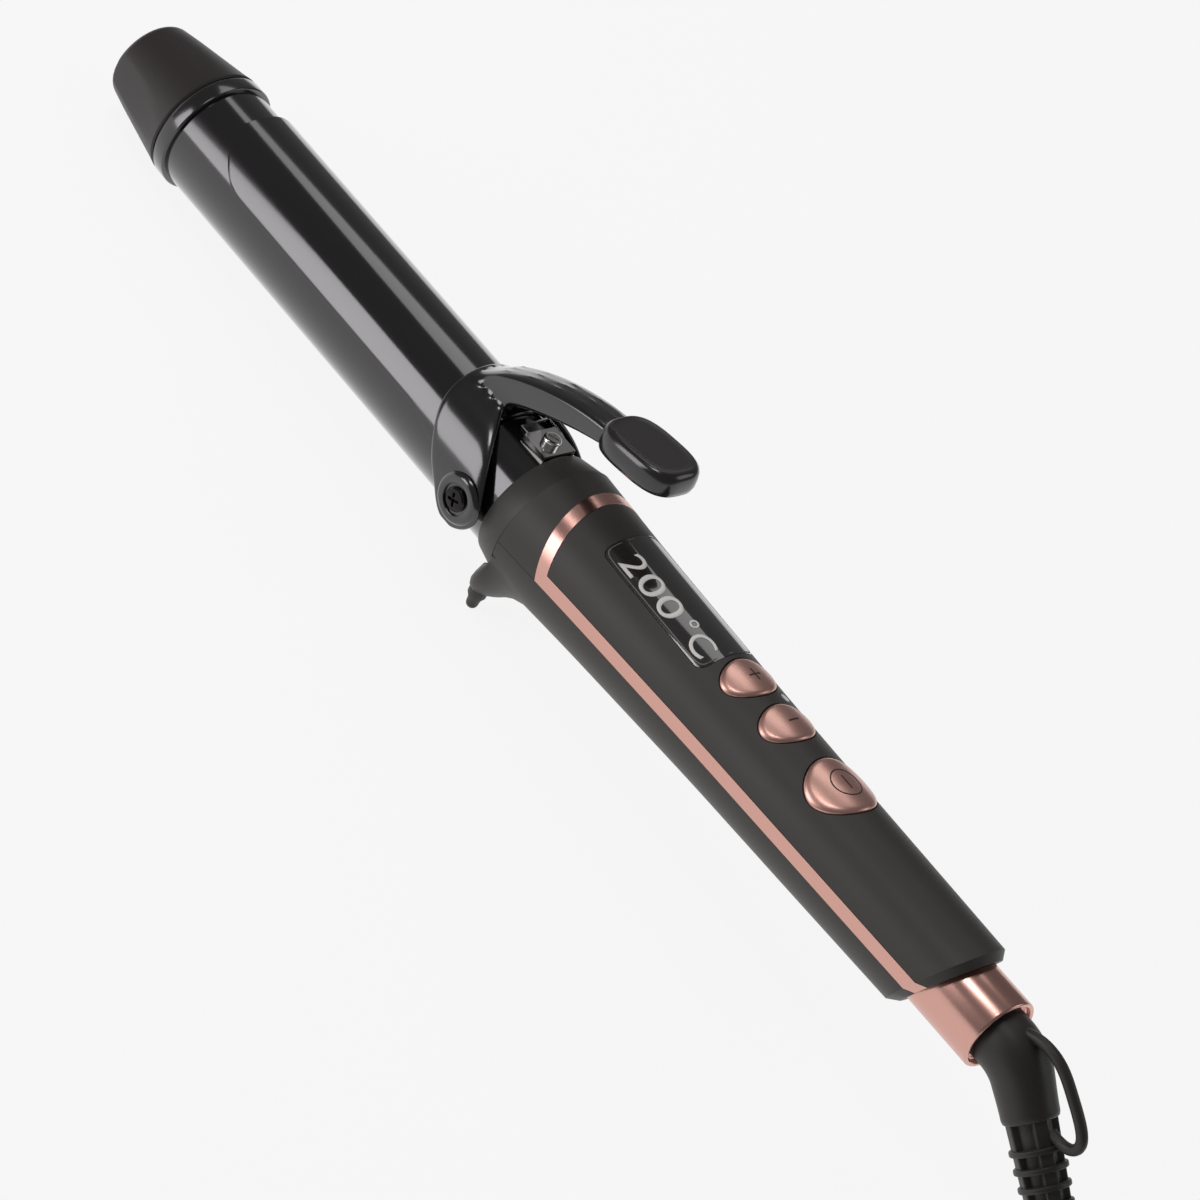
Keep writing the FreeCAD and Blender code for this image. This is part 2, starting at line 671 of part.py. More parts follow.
def trim_space(grow=0.0):
    """The hoop over the handle and the two long strips, as a space in its skin."""
    wide = TRIM_WIDTH + grow
    hoop = trim_band(TRIM_FRONT - grow, TRIM_FRONT + wide)
    strips = half_box(TRIM_FRONT + 1, HANDLE_END_X + 30, 30, PARTING_Z, PARTING_Z + wide)
    return hoop.fuse(strips)


def accent_trim():
    """Rose hoop and side strips in one piece, let into the upper shell."""
    skin = handle_outer().cut(handle_body(TRIM_DEPTH, COLLAR_LENGTH - 2, HANDLE_END_X + 14))
    trim = skin.common(trim_space()).cut(below(PARTING_Z + SHELL_SEAM))
    return trim.removeSplitter()


def window_prism(grow=0.0):
    """Upright rounded prism of the display window."""
    end = WINDOW_START + WINDOW_LENGTH
    prism = half_box(WINDOW_START - grow, end + grow, WINDOW_HALF_WIDTH + grow, 5, 30)
    upright = [e for e in prism.Edges if abs(e.Vertexes[0].Z - e.Vertexes[1].Z) > 5]
    return prism.makeFillet(WINDOW_CORNER, upright)


def display_window():
    """Smoked curved window, flush with the upper shell."""
    skin = handle_body().cut(handle_body(WINDOW_WALL, COLLAR_LENGTH - 2, HANDLE_END_X + 14))
    return skin.common(window_prism())


def lens_space(grow):
    """Upright bar of the indicator lens."""
    return cyl_z(LENS_X, LENS_Y, 8, 30, LENS_R + grow)


def indicator_lens():
    """Small lamp lens between the two temperature buttons."""
    skin = handle_body(0.05).cut(handle_body(HANDLE_WALL, COLLAR_LENGTH - 2, HANDLE_END_X + 14))
    return skin.common(lens_space(0.0))


def button_place(name):
    """Middle and half sizes of a button."""
    places = {"plus": (PLUS_X, SMALL_BUTTON), "minus": (MINUS_X, SMALL_BUTTON),
              "power": (POWER_X, LARGE_BUTTON)}
    return places[name]


def button_hole(name):
    """Opening in the upper shell for one button."""
    x, size = button_place(name)
    return oval_z(x, size[0], size[1], 6, 30, BUTTON_GAP)


def button_lip_space(name):
    """Room under the shell's skin for a button's lip and its travel."""
    x, size = button_place(name)
    grow = BUTTON_LIP + BUTTON_GAP
    return oval_z(x, size[0], size[1], 6, 30, grow).common(handle_body(1.3, 60, 150))


def button(name):
    """Domed cap with a retaining lip and a stem to its switch."""
    x, size = button_place(name)
    roof = handle_body(-BUTTON_PROUD, 60, 150)
    floor = handle_body(HANDLE_WALL + 0.4, 60, 150)
    cap = oval_z(x, size[0], size[1], 6, 30).common(roof).cut(floor)
    lip = oval_z(x, size[0], size[1], 6, 30, BUTTON_LIP)
    lip = lip.common(handle_body(1.4, 60, 150)).cut(floor)
    stem = cyl_z(x, 0, stem_low(), handle_r(x) - 1.0, 1.8)
    return cap.fuse(lip).fuse(stem).removeSplitter()


def switch_top():
    """Top of the switches on the board."""
    return BOARD_Z + BOARD_WALL + SWITCH_SIZE[2]


def stem_low():
    """Underside of a button's stem, clear of its switch for the whole travel."""
    return switch_top() + BUTTON_TRAVEL + 0.1


def tact_switch(name):
    """Small switch on the board under one button."""
    x = button_place(name)[0]
    length, width, height = SWITCH_SIZE
    low = BOARD_Z + BOARD_WALL + 0.02
    body = half_box(x - length / 2, x + length / 2, width / 2, low, low + height * 0.75)
    plunger = cyl_z(x, 0, low, low + height - 0.02, 1.7)
    return body.fuse(plunger)


def upper_shell():
    """Upper half of the handle with its openings."""
    shell = handle_outer().cut(handle_hollow()).common(above(PARTING_Z + SHELL_SEAM / 2))
    for x in SHELL_SCREW_X:
        post = cyl_z(x, 0, PARTING_Z + SHELL_SEAM / 2, POWER_BOARD_Z + 9.9, BOSS_R)
        bridge = half_box(x - 1, x + 1, handle_r(x) - 1, PARTING_Z + SHELL_SEAM / 2, PARTING_Z + 3)
        shell = shell.fuse(post).fuse(bridge.common(handle_body(1.0)))
    trim = handle_body(-1.0, COLLAR_LENGTH - 2, HANDLE_END_X + 16)
    trim = trim.cut(handle_body(TRIM_DEPTH + 0.1, COLLAR_LENGTH - 3, HANDLE_END_X + 17))
    shell = shell.cut(trim.common(trim_space(SEAT)))
    shell = shell.cut(window_prism(SEAT)).cut(lens_space(0.05))
    for name in ("plus", "minus", "power"):
        shell = shell.cut(button_hole(name)).cut(button_lip_space(name))
    for x in SHELL_SCREW_X:
        shell = shell.cut(cyl_z(x, 0, -5, POWER_BOARD_Z + 9, SHELL_SCREW_R + 0.02))
    return biggest(shell.cut(swivel_room()))


def foot_bulge():
    """The lower shell's flare, which lifts the barrel off the table."""
    outline = [(0.8, -13.0), (0.8, -22.0), (1.4, -25.4), (3.2, -26.6), (7.6, -24.4),
               (11.6, -20.8), (18.0, -18.3), (36.0, -16.4), (36.0, -13.0)]
    flare = side_plate(outline, FOOT_HALF_WIDTH + 6)
    return flare.common(cyl_x(-5, 60, FOOT_R)).common(half_box(-5, 60, FOOT_HALF_WIDTH + 3, -40, 0))


def foot_nub(side):
    """One of the two nubs that stand on the table."""
    y = side * NUB_Y
    post = cyl_z(NUB_X, y, -NUB_DEPTH + NUB_R, -20, NUB_R)
    return post.fuse(Part.makeSphere(NUB_R, V(NUB_X, y, -NUB_DEPTH + NUB_R)))


def lower_shell():
    """Lower half of the handle with its flare, nubs and screw wells."""
    shell = handle_outer().cut(handle_hollow()).common(below(PARTING_Z - SHELL_SEAM / 2))
    flare = foot_bulge().cut(handle_body(HANDLE_WALL, COLLAR_LENGTH - 1, HANDLE_END_X))
    flare = flare.cut(cyl_x(-10, COLLAR_LENGTH, HANDLE_FRONT_R + SHELL_SEAM))
    shell = shell.fuse(flare).fuse(foot_nub(1)).fuse(foot_nub(-1))
    for x in SHELL_SCREW_X:
        post = cyl_z(x, 0, -handle_r(x) + 1.0, PARTING_Z - SHELL_SEAM / 2, BOSS_R)
        shell = shell.fuse(post)
    for x in SHELL_SCREW_X:
        shell = shell.cut(cyl_z(x, 0, -30, 0, SHELL_SCREW_R + 0.02))
        shell = shell.cut(cyl_z(x, 0, -30, -handle_r(x) + 3.4, SHELL_SCREW_HEAD_R + SEAT))
    return biggest(shell.cut(swivel_room()))


def shell_screw(x):
    """Screw from below that holds the two shells together."""
    seat = -handle_r(x) + 3.35
    head = cyl_z(x, 0, seat - 1.6, seat, SHELL_SCREW_HEAD_R)
    shank = cyl_z(x, 0, seat - 0.5, 2.4, SHELL_SCREW_R)
    slot = half_box(x - 1.6, x + 1.6, 0.35, seat - 2, seat - 0.8)
    return head.fuse(shank).cut(slot).removeSplitter()


def control_board():
    """Printed board that carries the display and the switches."""
    end = BOARD_START + BOARD_LENGTH
    board = half_box(BOARD_START, end, BOARD_HALF_WIDTH, BOARD_Z, BOARD_Z + BOARD_WALL)
    return board


def lcd_module():
    """Display glass and its backlight under the window."""
    length, width, height = LCD_SIZE
    x = WINDOW_START + WINDOW_LENGTH / 2
    low = BOARD_Z + BOARD_WALL + 0.02
    return half_box(x - length / 2, x + length / 2, width / 2, low, low + height)


def power_board():
    """Printed board with the mains parts."""
    end = POWER_BOARD_START + POWER_BOARD_LENGTH
    return half_box(POWER_BOARD_START, end, 10.0, POWER_BOARD_Z, POWER_BOARD_Z + 1.6)


def capacitor():
    """Film capacitor on the mains board."""
    low = POWER_BOARD_Z + 1.62
    return half_box(POWER_BOARD_START + 6, POWER_BOARD_START + 24, 5.0, low, low + 7.5)


def triac():
    """Switching element on the mains board with its tab."""
    x = POWER_BOARD_START + 34
    low = POWER_BOARD_Z + 1.62
    body = half_box(x, x + 9, 5.0, low, low + 4.4)
    tab = half_box(x + 9, x + 15, 5.0, low, low + 1.2)
    return body.fuse(tab)


def board_carrier():
    """Plastic frame between the two boards, seated in the upper shell."""
    start = BOARD_START + 6
    frame = half_box(start, BOARD_START + BOARD_LENGTH - 4, 10.0, BOARD_Z - 2.2, BOARD_Z - 0.02)
    frame = frame.cut(half_box(start + 4, BOARD_START + BOARD_LENGTH - 8, 7.2, 0, 10))
    for x in SHELL_SCREW_X:
        frame = frame.cut(cyl_z(x, 0, 0, 10, BOSS_R + GAP))
    return frame


# ---------------------------------------------------------------- swivel and boot
def swivel_room():
    """Room in the shells for the swivel collar and its flange."""
    room = cyl_x(SWIVEL_FRONT - SEAT, SWIVEL_END + 20, SWIVEL_R + SEAT)
    flange = cyl_x(SWIVEL_FRONT - SEAT, SWIVEL_FRONT + 3 + SEAT, SWIVEL_R + 1.5 + SEAT)
    return room.fuse(flange)


def swivel_collar():
    """Rose collar fixed in the handle's end, which holds the turning boot."""
    tube = cyl_x(SWIVEL_FRONT, SWIVEL_END, SWIVEL_R)
    rim = [e for e in tube.Edges if e.BoundBox.XMin > SWIVEL_END - 0.01]
    tube = tube.makeFillet(1.0, rim)
    tube = tube.fuse(cyl_x(SWIVEL_FRONT, SWIVEL_FRONT + 3, SWIVEL_R + 1.5))
    tube = tube.cut(cyl_x(SWIVEL_END - SWIVEL_SOCKET_DEPTH, SWIVEL_END + 20, SWIVEL_SOCKET_R))
    tube = tube.cut(cyl_x(SWIVEL_FRONT - 1, SWIVEL_END + 20, SWIVEL_BORE_R))
    return tube.cut(cyl_x(SWIVEL_FRONT - 1, core_flange_end() + SEAT, CORE_FLANGE_R + SEAT))


def core_start():
    """Front end of the swivel core."""
    return SWIVEL_FRONT + 4.0


def core_flange_end():
    """Rear face of the core's flange, which bears in the collar."""
    return core_start() + CORE_FLANGE


def swivel_core():
    """Spool on the boot that turns in the collar and carries the slip rings."""
    spool = cyl_x(core_start(), SWIVEL_END - SWIVEL_SOCKET_DEPTH, CORE_R)
    spool = spool.fuse(cyl_x(core_start(), core_flange_end(), CORE_FLANGE_R))
    nose = cyl_x(core_start() - 16, core_start(), CONTACT_R - 1.2)
    return spool.fuse(nose).removeSplitter()


def slip_ring(index):
    """Brass contact ring on the core's nose."""
    start = core_start() - 9.0 - index * 5.5
    return tube_x(start, start + 3.0, CONTACT_R, CONTACT_R - 1.2 + 0.03)


def contact_brush(index):
    """Sprung brass strip that rides on its slip ring."""
    start = core_start() - 9.0 - index * 5.5
    low = CONTACT_R + 0.05
    strip = half_box(start + 0.5, start + 2.5, 1.5, low, low + 0.5)
    return strip


def brush_block():
    """Insulating block that holds both brushes."""
    low = CONTACT_R + 0.6
    start = core_start() - 15
    block = half_box(start, start + 10.5, 5.0, low, low + 2.4)
    return block


def tail_axis():
    """Direction of the boot's tail."""
    drop = math.radians(BOOT_DROP)
    return V(math.cos(drop), 0, -math.sin(drop))


def tail_end():
    """End of the boot's tail, in the handle's frame."""
    return V(ELBOW_X, 0, 0) + tail_axis() * TAIL_LENGTH


def boot_path():
    """Route of the boot: straight out, round the elbow and down the tail."""
    tangent = ELBOW_BEND_R * math.tan(math.radians(BOOT_DROP / 2))
    start = V(SWIVEL_END - SWIVEL_SOCKET_DEPTH + 0.1, 0, 0)
    bend_in = V(ELBOW_X - tangent, 0, 0)
    bend_out = V(ELBOW_X, 0, 0) + tail_axis() * tangent
    half = math.radians(BOOT_DROP / 2)
    middle = V(bend_in.x + ELBOW_BEND_R * math.sin(half), 0, -ELBOW_BEND_R * (1 - math.cos(half)))
    return start, bend_in, middle, bend_out


def along_tail(x0, x1, r0, r1):
    """Round piece on the tail's axis, between two distances from the elbow."""
    base = V(ELBOW_X, 0, 0) + tail_axis() * x0
    if abs(r0 - r1) < 1e-6:
        return Part.makeCylinder(r0, x1 - x0, base, tail_axis())
    return Part.makeCone(r0, r1, x1 - x0, base, tail_axis())


def tail_r(s):
    """The tail's core radius at a distance from the elbow."""
    share = (s - TAIL_SMOOTH) / (TAIL_LENGTH - TAIL_SMOOTH)
    return TAIL_R[0] + (TAIL_R[1] - TAIL_R[0]) * share


def cord_boot():
    """Rubber strain relief: a smooth elbow and a ribbed, windowed tail."""
    start, bend_in, middle, bend_out = boot_path()
    tangent = ELBOW_BEND_R * math.tan(math.radians(BOOT_DROP / 2))
    neck = cyl_x(start.x, bend_in.x, BOOT_NECK_R)
    bend = Part.Wire([arc(bend_in, middle, bend_out)])
    ring = Part.Wire(Part.makeCircle(BOOT_NECK_R, bend_in, AXIS_X))
    elbow = bend.makePipeShell([ring], True, True)
    cone = along_tail(tangent, TAIL_SMOOTH, BOOT_NECK_R, tail_r(TAIL_SMOOTH) + RIB_STEP)
    boot = neck.fuse(elbow).fuse(cone)
    boot = boot.fuse(along_tail(TAIL_SMOOTH, TAIL_LENGTH, tail_r(TAIL_SMOOTH), tail_r(TAIL_LENGTH)))
    count = int((TAIL_LENGTH - TAIL_SMOOTH) / RIB_PITCH)
    for i in range(count):
        s = TAIL_LENGTH - RIB_WIDTH - i * RIB_PITCH
        r = tail_r(s) + RIB_STEP
        boot = boot.fuse(along_tail(s, s + RIB_WIDTH, r, r))
    return boot.removeSplitter()


def hanging_loop():
    """Rubber loop from the elbow's top back to the ribs, for a wall hook."""
    up = V(-tail_axis().z, 0, tail_axis().x)
    root = V(ELBOW_X - 1.0, 0, BOOT_NECK_R - 0.6)
    foot_s = TAIL_SMOOTH + 3.5
    foot = V(ELBOW_X, 0, 0) + tail_axis() * foot_s + up * (tail_r(foot_s) + RIB_STEP - 0.6)
    top = root + V(7.0, 0, 1.2)
    back = root + V(15.0, 0, -0.6)
    far = foot + up * LOOP_REACH + tail_axis() * 1.4
    under = foot + up * LOOP_REACH * 0.38 + tail_axis() * 2.9
    curve = Part.BSplineCurve()
    curve.interpolate([root, top, back, far, under, foot])
    path = Part.Wire(curve.toShape())
    tangent = curve.tangent(curve.FirstParameter)[0]
    ring = Part.Wire(Part.makeCircle(LOOP_R, root, tangent))
    loop = path.makePipeShell([ring], True, True)
    return biggest(loop.cut(cord_boot()))


def biggest(shape):
    """The largest solid of a shape."""
    solids = sorted(shape.Solids, key=lambda s: s.Volume)
    return solids[-1]


# ---------------------------------------------------------------- wires
def wire(points, r):
    """Thin round lead: straight runs joined by tangent arcs."""
    return route(points, r)[0]


def route(points, r):
    """Round tube along straight runs joined by tangent arcs, and its length and radii."""
    edges = []
    radii = []
    here = points[0]
    for i in range(1, len(points) - 1):
        before = points[i] - points[i - 1]
        after = points[i + 1] - points[i]
        half = before.getAngle(after) / 2
        reach = 0.45 * min(before.Length, after.Length)
        radius = reach / math.tan(half)
        radii.append(radius)
        unit_in = V(before).normalize()
        unit_out = V(after).normalize()
        start = points[i] - unit_in * reach
        end = points[i] + unit_out * reach
        inward = V(unit_out - unit_in).normalize()
        middle = points[i] + inward * (radius / math.cos(half) - radius)
        edges.append(line(here, start))
        edges.append(arc(start, middle, end))
        here = end
    edges.append(line(here, points[-1]))
    path = Part.Wire(edges)
    ring = Part.Wire(Part.makeCircle(r, points[0], points[1] - points[0]))
    return path.makePipeShell([ring], True, False), path.Length, radii


def heater_lead(side):
    """Lead from the heating plate through the holder to the mains board."""
    y = side * 2.4
    start = heater_start() + HEATER_LENGTH - 3
    points = [V(start + 0.1, y, 0), V(-30, y, 0.3), V(-5, y, 1.4), V(20, y, 1.0), V(40, side * 6.5, -3),
              V(POWER_BOARD_START - 0.1, side * 6.5, POWER_BOARD_Z + 0.8)]
    return wire(points, 0.8)


# ---------------------------------------------------------------- placing on the table
def on_handle(shape):
    """Turn a piece of the handle up by the rise of the handle's axis."""
    shape.rotate(V(0, 0, 0), AXIS_Y, -HANDLE_RISE)
    return shape


def rise_point(point):
    """The same turn for a point."""
    return FreeCAD.Rotation(AXIS_Y, -HANDLE_RISE).multVec(point)


def table_tilt():
    """Angle by which the nose dips when the iron rests on its tip ring and its nubs."""
    nub = rise_point(V(NUB_X, 0, -NUB_DEPTH + NUB_R))
    run = nub.x - GROOVE_X
    drop = -RING_R - nub.z
    reach = math.hypot(run, drop)
    return math.asin(NUB_R / reach) + math.atan2(drop, run)


def table_point(point):
    """A point of the iron, laid on the table."""
    turned = FreeCAD.Rotation(AXIS_Y, -math.degrees(table_tilt())).multVec(point)
    low = FreeCAD.Rotation(AXIS_Y, -math.degrees(table_tilt())).multVec(V(GROOVE_X, 0, -RING_R))
    return turned - V(0, 0, low.z)


def on_table(shape):
    """Lay a piece on the table."""
    shape.rotate(V(0, 0, 0), AXIS_Y, -math.degrees(table_tilt()))
    low = FreeCAD.Rotation(AXIS_Y, -math.degrees(table_tilt())).multVec(V(GROOVE_X, 0, -RING_R))
    shape.translate(V(0, 0, -low.z))
    return shape


# ---------------------------------------------------------------- cord and plug
def cord_exit():
    """Where the cord leaves the boot, on the table."""
    return table_point(rise_point(tail_end()))


def exit_direction():
    """Direction of the cord at the boot's end, on the table."""
    ahead = table_point(rise_point(tail_end() + tail_axis()))
    return (ahead - cord_exit()).normalize()


def coil_middle():
    """Middle of the hank's foot on the table."""
    return V(cord_exit().x + COIL_AHEAD, 0, 0)


def cord_coil(grow=0.0):
    """The rest of the cord, folded into a hank on the table, as one long ring."""
    half = COIL_TURNS_ACROSS * CORD_R + grow
    top = 0.1 + (COIL_TURNS_UP * 2 - 0.1) * CORD_R + grow
    middle = coil_middle()
    x0 = COIL_MID_R - half
    x1 = COIL_MID_R + half
    low = 0.1
    turn = CORD_R
    k = turn * (1 - math.sqrt(0.5))
    edges = [
        line(V(x0 + turn, 0, low), V(x1 - turn, 0, low)),
        arc(V(x1 - turn, 0, low), V(x1 - k, 0, low + k), V(x1, 0, low + turn)),
        line(V(x1, 0, low + turn), V(x1, 0, top - turn)),
        arc(V(x1, 0, top - turn), V(x1 - k, 0, top - k), V(x1 - turn, 0, top)),
        line(V(x1 - turn, 0, top), V(x0 + turn, 0, top)),
        arc(V(x0 + turn, 0, top), V(x0 + k, 0, top - k), V(x0, 0, top - turn)),
        line(V(x0, 0, top - turn), V(x0, 0, low + turn)),
        arc(V(x0, 0, low + turn), V(x0 + k, 0, low + k), V(x0 + turn, 0, low)),
    ]
    half_run = COIL_RUN / 2
    parts = []
    for side in (-1, 1):
        section = face(edges)
        section.rotate(V(0, 0, 0), AXIS_Z, side * 90)
        section.translate(V(side * half_run, 0, 0))
        parts.append(section.extrude(V(-side * COIL_RUN, 0, 0)))
        section = face(edges)
        section.rotate(V(0, 0, 0), AXIS_Z, side * 90)
        section.translate(V(-side * half_run, 0, 0))
        parts.append(section.revolve(V(-side * half_run, 0, 0), AXIS_Z, 180))
    ring = parts[0].fuse(parts[1:]).removeSplitter()
    ring = biggest(ring)
    ring.translate(middle)
    return ring


def lead_points():
    """Route of the cord from the boot's end to the top of the hank."""
    out = cord_exit()
    ahead = exit_direction()
    first = out + ahead * 14.5
    top = 0.1 + 4.93 * CORD_R
    side = -COIL_MID_R - CORD_R
    start = coil_middle().x - COIL_RUN / 2
    return [out, first, V(first.x + 17.5, -3, top - 2.8), V(start - 28, side + 11, top - 0.6),
            V(start - 12, side + 2, top), V(start + 6, side, top)]


def mains_cord():
    """Cord from the boot to the coil."""
    points = lead_points()
    tube, length, radii = route(points, CORD_R)
    print("cord lead length", round(length, 1), "radii", [round(r, 1) for r in radii],
          "volume over section", round(tube.Volume / (math.pi * CORD_R ** 2 * length), 4))
    grown = cord_coil(0.1)
    return biggest(tube.cut(grown).cut(half_box(coil_middle().x - 20, 900, 200, -1, 100)))


def plug_back():
    """Middle of the plug's back face."""
    return V(coil_middle().x + PLUG_AHEAD, PLUG_SIDE, PLUG_HEIGHT / 2)


def end_points():
    """Route of the cord from the coil to the plug."""
    floor = CORD_R + 0.1
    back = plug_back()
    entry = V(back.x - PLUG_RELIEF, back.y, back.z)
    side = -COIL_MID_R - CORD_R
    end = coil_middle().x + COIL_RUN / 2
    return [V(end - 4, side, floor), V(end + 13, side + 0.7, floor + 0.2), V(entry.x - 13, entry.y - 1.2, entry.z - 0.6), entry]


def plug_cord():
    """Short end of the cord between the coil and the plug."""
    tube, length, radii = route(end_points(), CORD_R)
    print("cord end length", round(length, 1), "radii", [round(r, 1) for r in radii])
    inside_plug = half_box(plug_back().x - PLUG_RELIEF, plug_back().x, 200, -1, 100)
    return biggest(tube.cut(cord_coil(0.1)).cut(half_box(0, coil_middle().x + 20, 200, -1, 100)).cut(inside_plug))


def plug_body():
    """Flat two-pin plug with its own strain relief."""
    back = plug_back()
    half = PLUG_WIDTH / 2
    body = box(back.x, back.x + PLUG_LENGTH, back.y - half, back.y + half, 0, PLUG_HEIGHT)
    long_edges = [e for e in body.Edges if e.BoundBox.XLength > PLUG_LENGTH - 1]
    body = body.makeFillet(PLUG_HEIGHT * 0.42, long_edges)
    relief = Part.makeCone(CORD_R + 1.2, CORD_R + 2.8, PLUG_RELIEF + 1, V(back.x - PLUG_RELIEF, back.y, back.z), AXIS_X)
    plug = body.fuse(relief)
    for side in (-1, 1):
        plug = plug.cut(cyl_x(back.x + PLUG_LENGTH - 8, back.x + 60, PIN_TANG_R + 0.02,
                              back.y + side * PIN_SPACING / 2, back.z))
    return plug


def plug_pin(side):
    """Round pin of the plug."""
    back = plug_back()
    end = back.x + PLUG_LENGTH + PIN_LENGTH
    y = back.y + side * PIN_SPACING / 2
    pin = cyl_x(back.x + PLUG_LENGTH + 0.02, end, PIN_R, y, back.z)
    rim = [e for e in pin.Edges if e.BoundBox.XMin > end - 0.01]
    pin = pin.makeChamfer(0.6, rim)
    return pin.fuse(cyl_x(back.x + PLUG_LENGTH - 7.5, back.x + PLUG_LENGTH + 1, PIN_TANG_R, y, back.z))


# ---------------------------------------------------------------- whole iron
def barrel_pieces():
    """Pieces that follow the barrel's axis."""
    return {
        "barrel_tube": barrel_tube(),
        "tip_cap": tip_cap(),
        "tip_ring": tip_ring(),
        "tip_insulator": tip_insulator(),
        "heat_spreader_upper": heat_spreader(1),
        "heat_spreader_lower": heat_spreader(-1),
        "ceramic_heater": ceramic_heater(),
        "temperature_sensor": temperature_sensor(),
        "barrel_holder": barrel_holder(),
        "thermal_fuse": thermal_fuse(),
        "clip_plate": clip_plate(),
        "clip_rivet_left": clip_rivet(-1),
        "clip_rivet_right": clip_rivet(1),
        "clip_lever": clip_lever(),
        "thumb_rest": thumb_rest(),
        "hinge_screw_left": mirrored(hinge_screw()),
        "hinge_screw_right": hinge_screw(),
        "hinge_washer_left": mirrored(hinge_washer()),
        "hinge_washer_right": hinge_washer(),
        "spring_bracket": spring_bracket(),
        "bracket_screw": bracket_screw(),
        "return_spring": return_spring(),
        "neck_collar": neck_collar(),
        "heater_lead_left": heater_lead(-1),
        "heater_lead_right": heater_lead(1),
    }


def handle_pieces():
    """Pieces that follow the handle's axis."""
    return {
        "upper_shell": upper_shell(),
        "lower_shell": lower_shell(),
        "accent_trim": accent_trim(),
        "display_window": display_window(),
        "indicator_lens": indicator_lens(),
        "plus_button": button("plus"),
        "minus_button": button("minus"),
        "power_button": button("power"),
        "switch_plus": tact_switch("plus"),
        "switch_minus": tact_switch("minus"),
        "switch_power": tact_switch("power"),
        "control_board": control_board(),
        "board_carrier": board_carrier(),
        "lcd_module": lcd_module(),
        "power_board": power_board(),
        "capacitor": capacitor(),
        "triac": triac(),
        "shell_screw_front": shell_screw(SHELL_SCREW_X[0]),
        "shell_screw_rear": shell_screw(SHELL_SCREW_X[1]),
        "swivel_collar": swivel_collar(),
        "swivel_core": swivel_core(),
        "slip_ring_live": slip_ring(0),
        "slip_ring_neutral": slip_ring(1),
        "contact_brush_live": contact_brush(0),
        "contact_brush_neutral": contact_brush(1),
        "brush_block": brush_block(),
        "cord_boot": cord_boot(),
        "hanging_loop": hanging_loop(),
    }


def cord_pieces():
    """Pieces that lie on the table behind the iron."""
    return {
        "mains_cord": mains_cord(),
        "cord_coil": cord_coil(),
        "plug_cord": plug_cord(),
        "plug_body": plug_body(),
        "plug_pin_left": plug_pin(-1),
        "plug_pin_right": plug_pin(1),
    }


def middle_x(pieces):
    """Middle of the iron's length on the table, without the cord."""
    boxes = [shape.optimalBoundingBox(False) for shape in pieces.values()]
    return (min(b.XMin for b in boxes) + max(b.XMax for b in boxes)) / 2


def main():
    """Build every piece, lay the iron on the table and write one file per piece."""
    os.makedirs("parts", exist_ok=True)
    iron = {name: on_table(shape) for name, shape in barrel_pieces().items()}
    iron.update({name: on_table(on_handle(shape)) for name, shape in handle_pieces().items()})
    shift = V(-middle_x(iron), 0, 0)
    hinge = table_point(V(HINGE_X, 0, HINGE_Z)) + shift
    press = table_point(rise_point(V(0, 0, 1))) - table_point(V(0, 0, 0))
    swivel = table_point(rise_point(V(SWIVEL_END, 0, 0))) + shift
    along = table_point(rise_point(V(1, 0, 0))) - table_point(V(0, 0, 0))
    print("tilt", math.degrees(table_tilt()), "hinge", hinge, "press axis", press)
    print("swivel at", swivel, "along", along, "shift", shift.x)
    print("cord exit", cord_exit() + shift, "direction", exit_direction())
    print("cord points", [tuple(round(c, 2) for c in p + shift) for p in lead_points() + end_points()])
    print("coil middle", coil_middle() + shift, "plug back", plug_back() + shift)
    pieces = dict(iron)
    pieces.update(cord_pieces())
    for name, shape in pieces.items():
        shape.translate(shift)
        if len(shape.Solids) != 1:
            print("CHECK", name, len(shape.Solids), "solids")
        if len(shape.Solids) == 1 and shape.ShapeType != "Solid":
            shape = shape.Solids[0]
        if not shape.isValid():
            print("CHECK", name, "is not valid")
        shape.exportStep("parts/" + name + ".step")
    print(len(pieces), "pieces")


main()
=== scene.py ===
"""Looks of a clip curling iron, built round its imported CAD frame.

Every piece is drawn in millimetres on the barrel's or the handle's own axis and
then placed in the frame in metres. Each sub-assembly is a class that builds its
meshes with bmesh operators and dresses them in procedural finishes.
"""
from __future__ import annotations

import json
import logging
import math
from dataclasses import dataclass, field
from enum import Enum
from typing import Callable, Iterable, Sequence

import bmesh
import bpy
from mathutils import Matrix, Vector


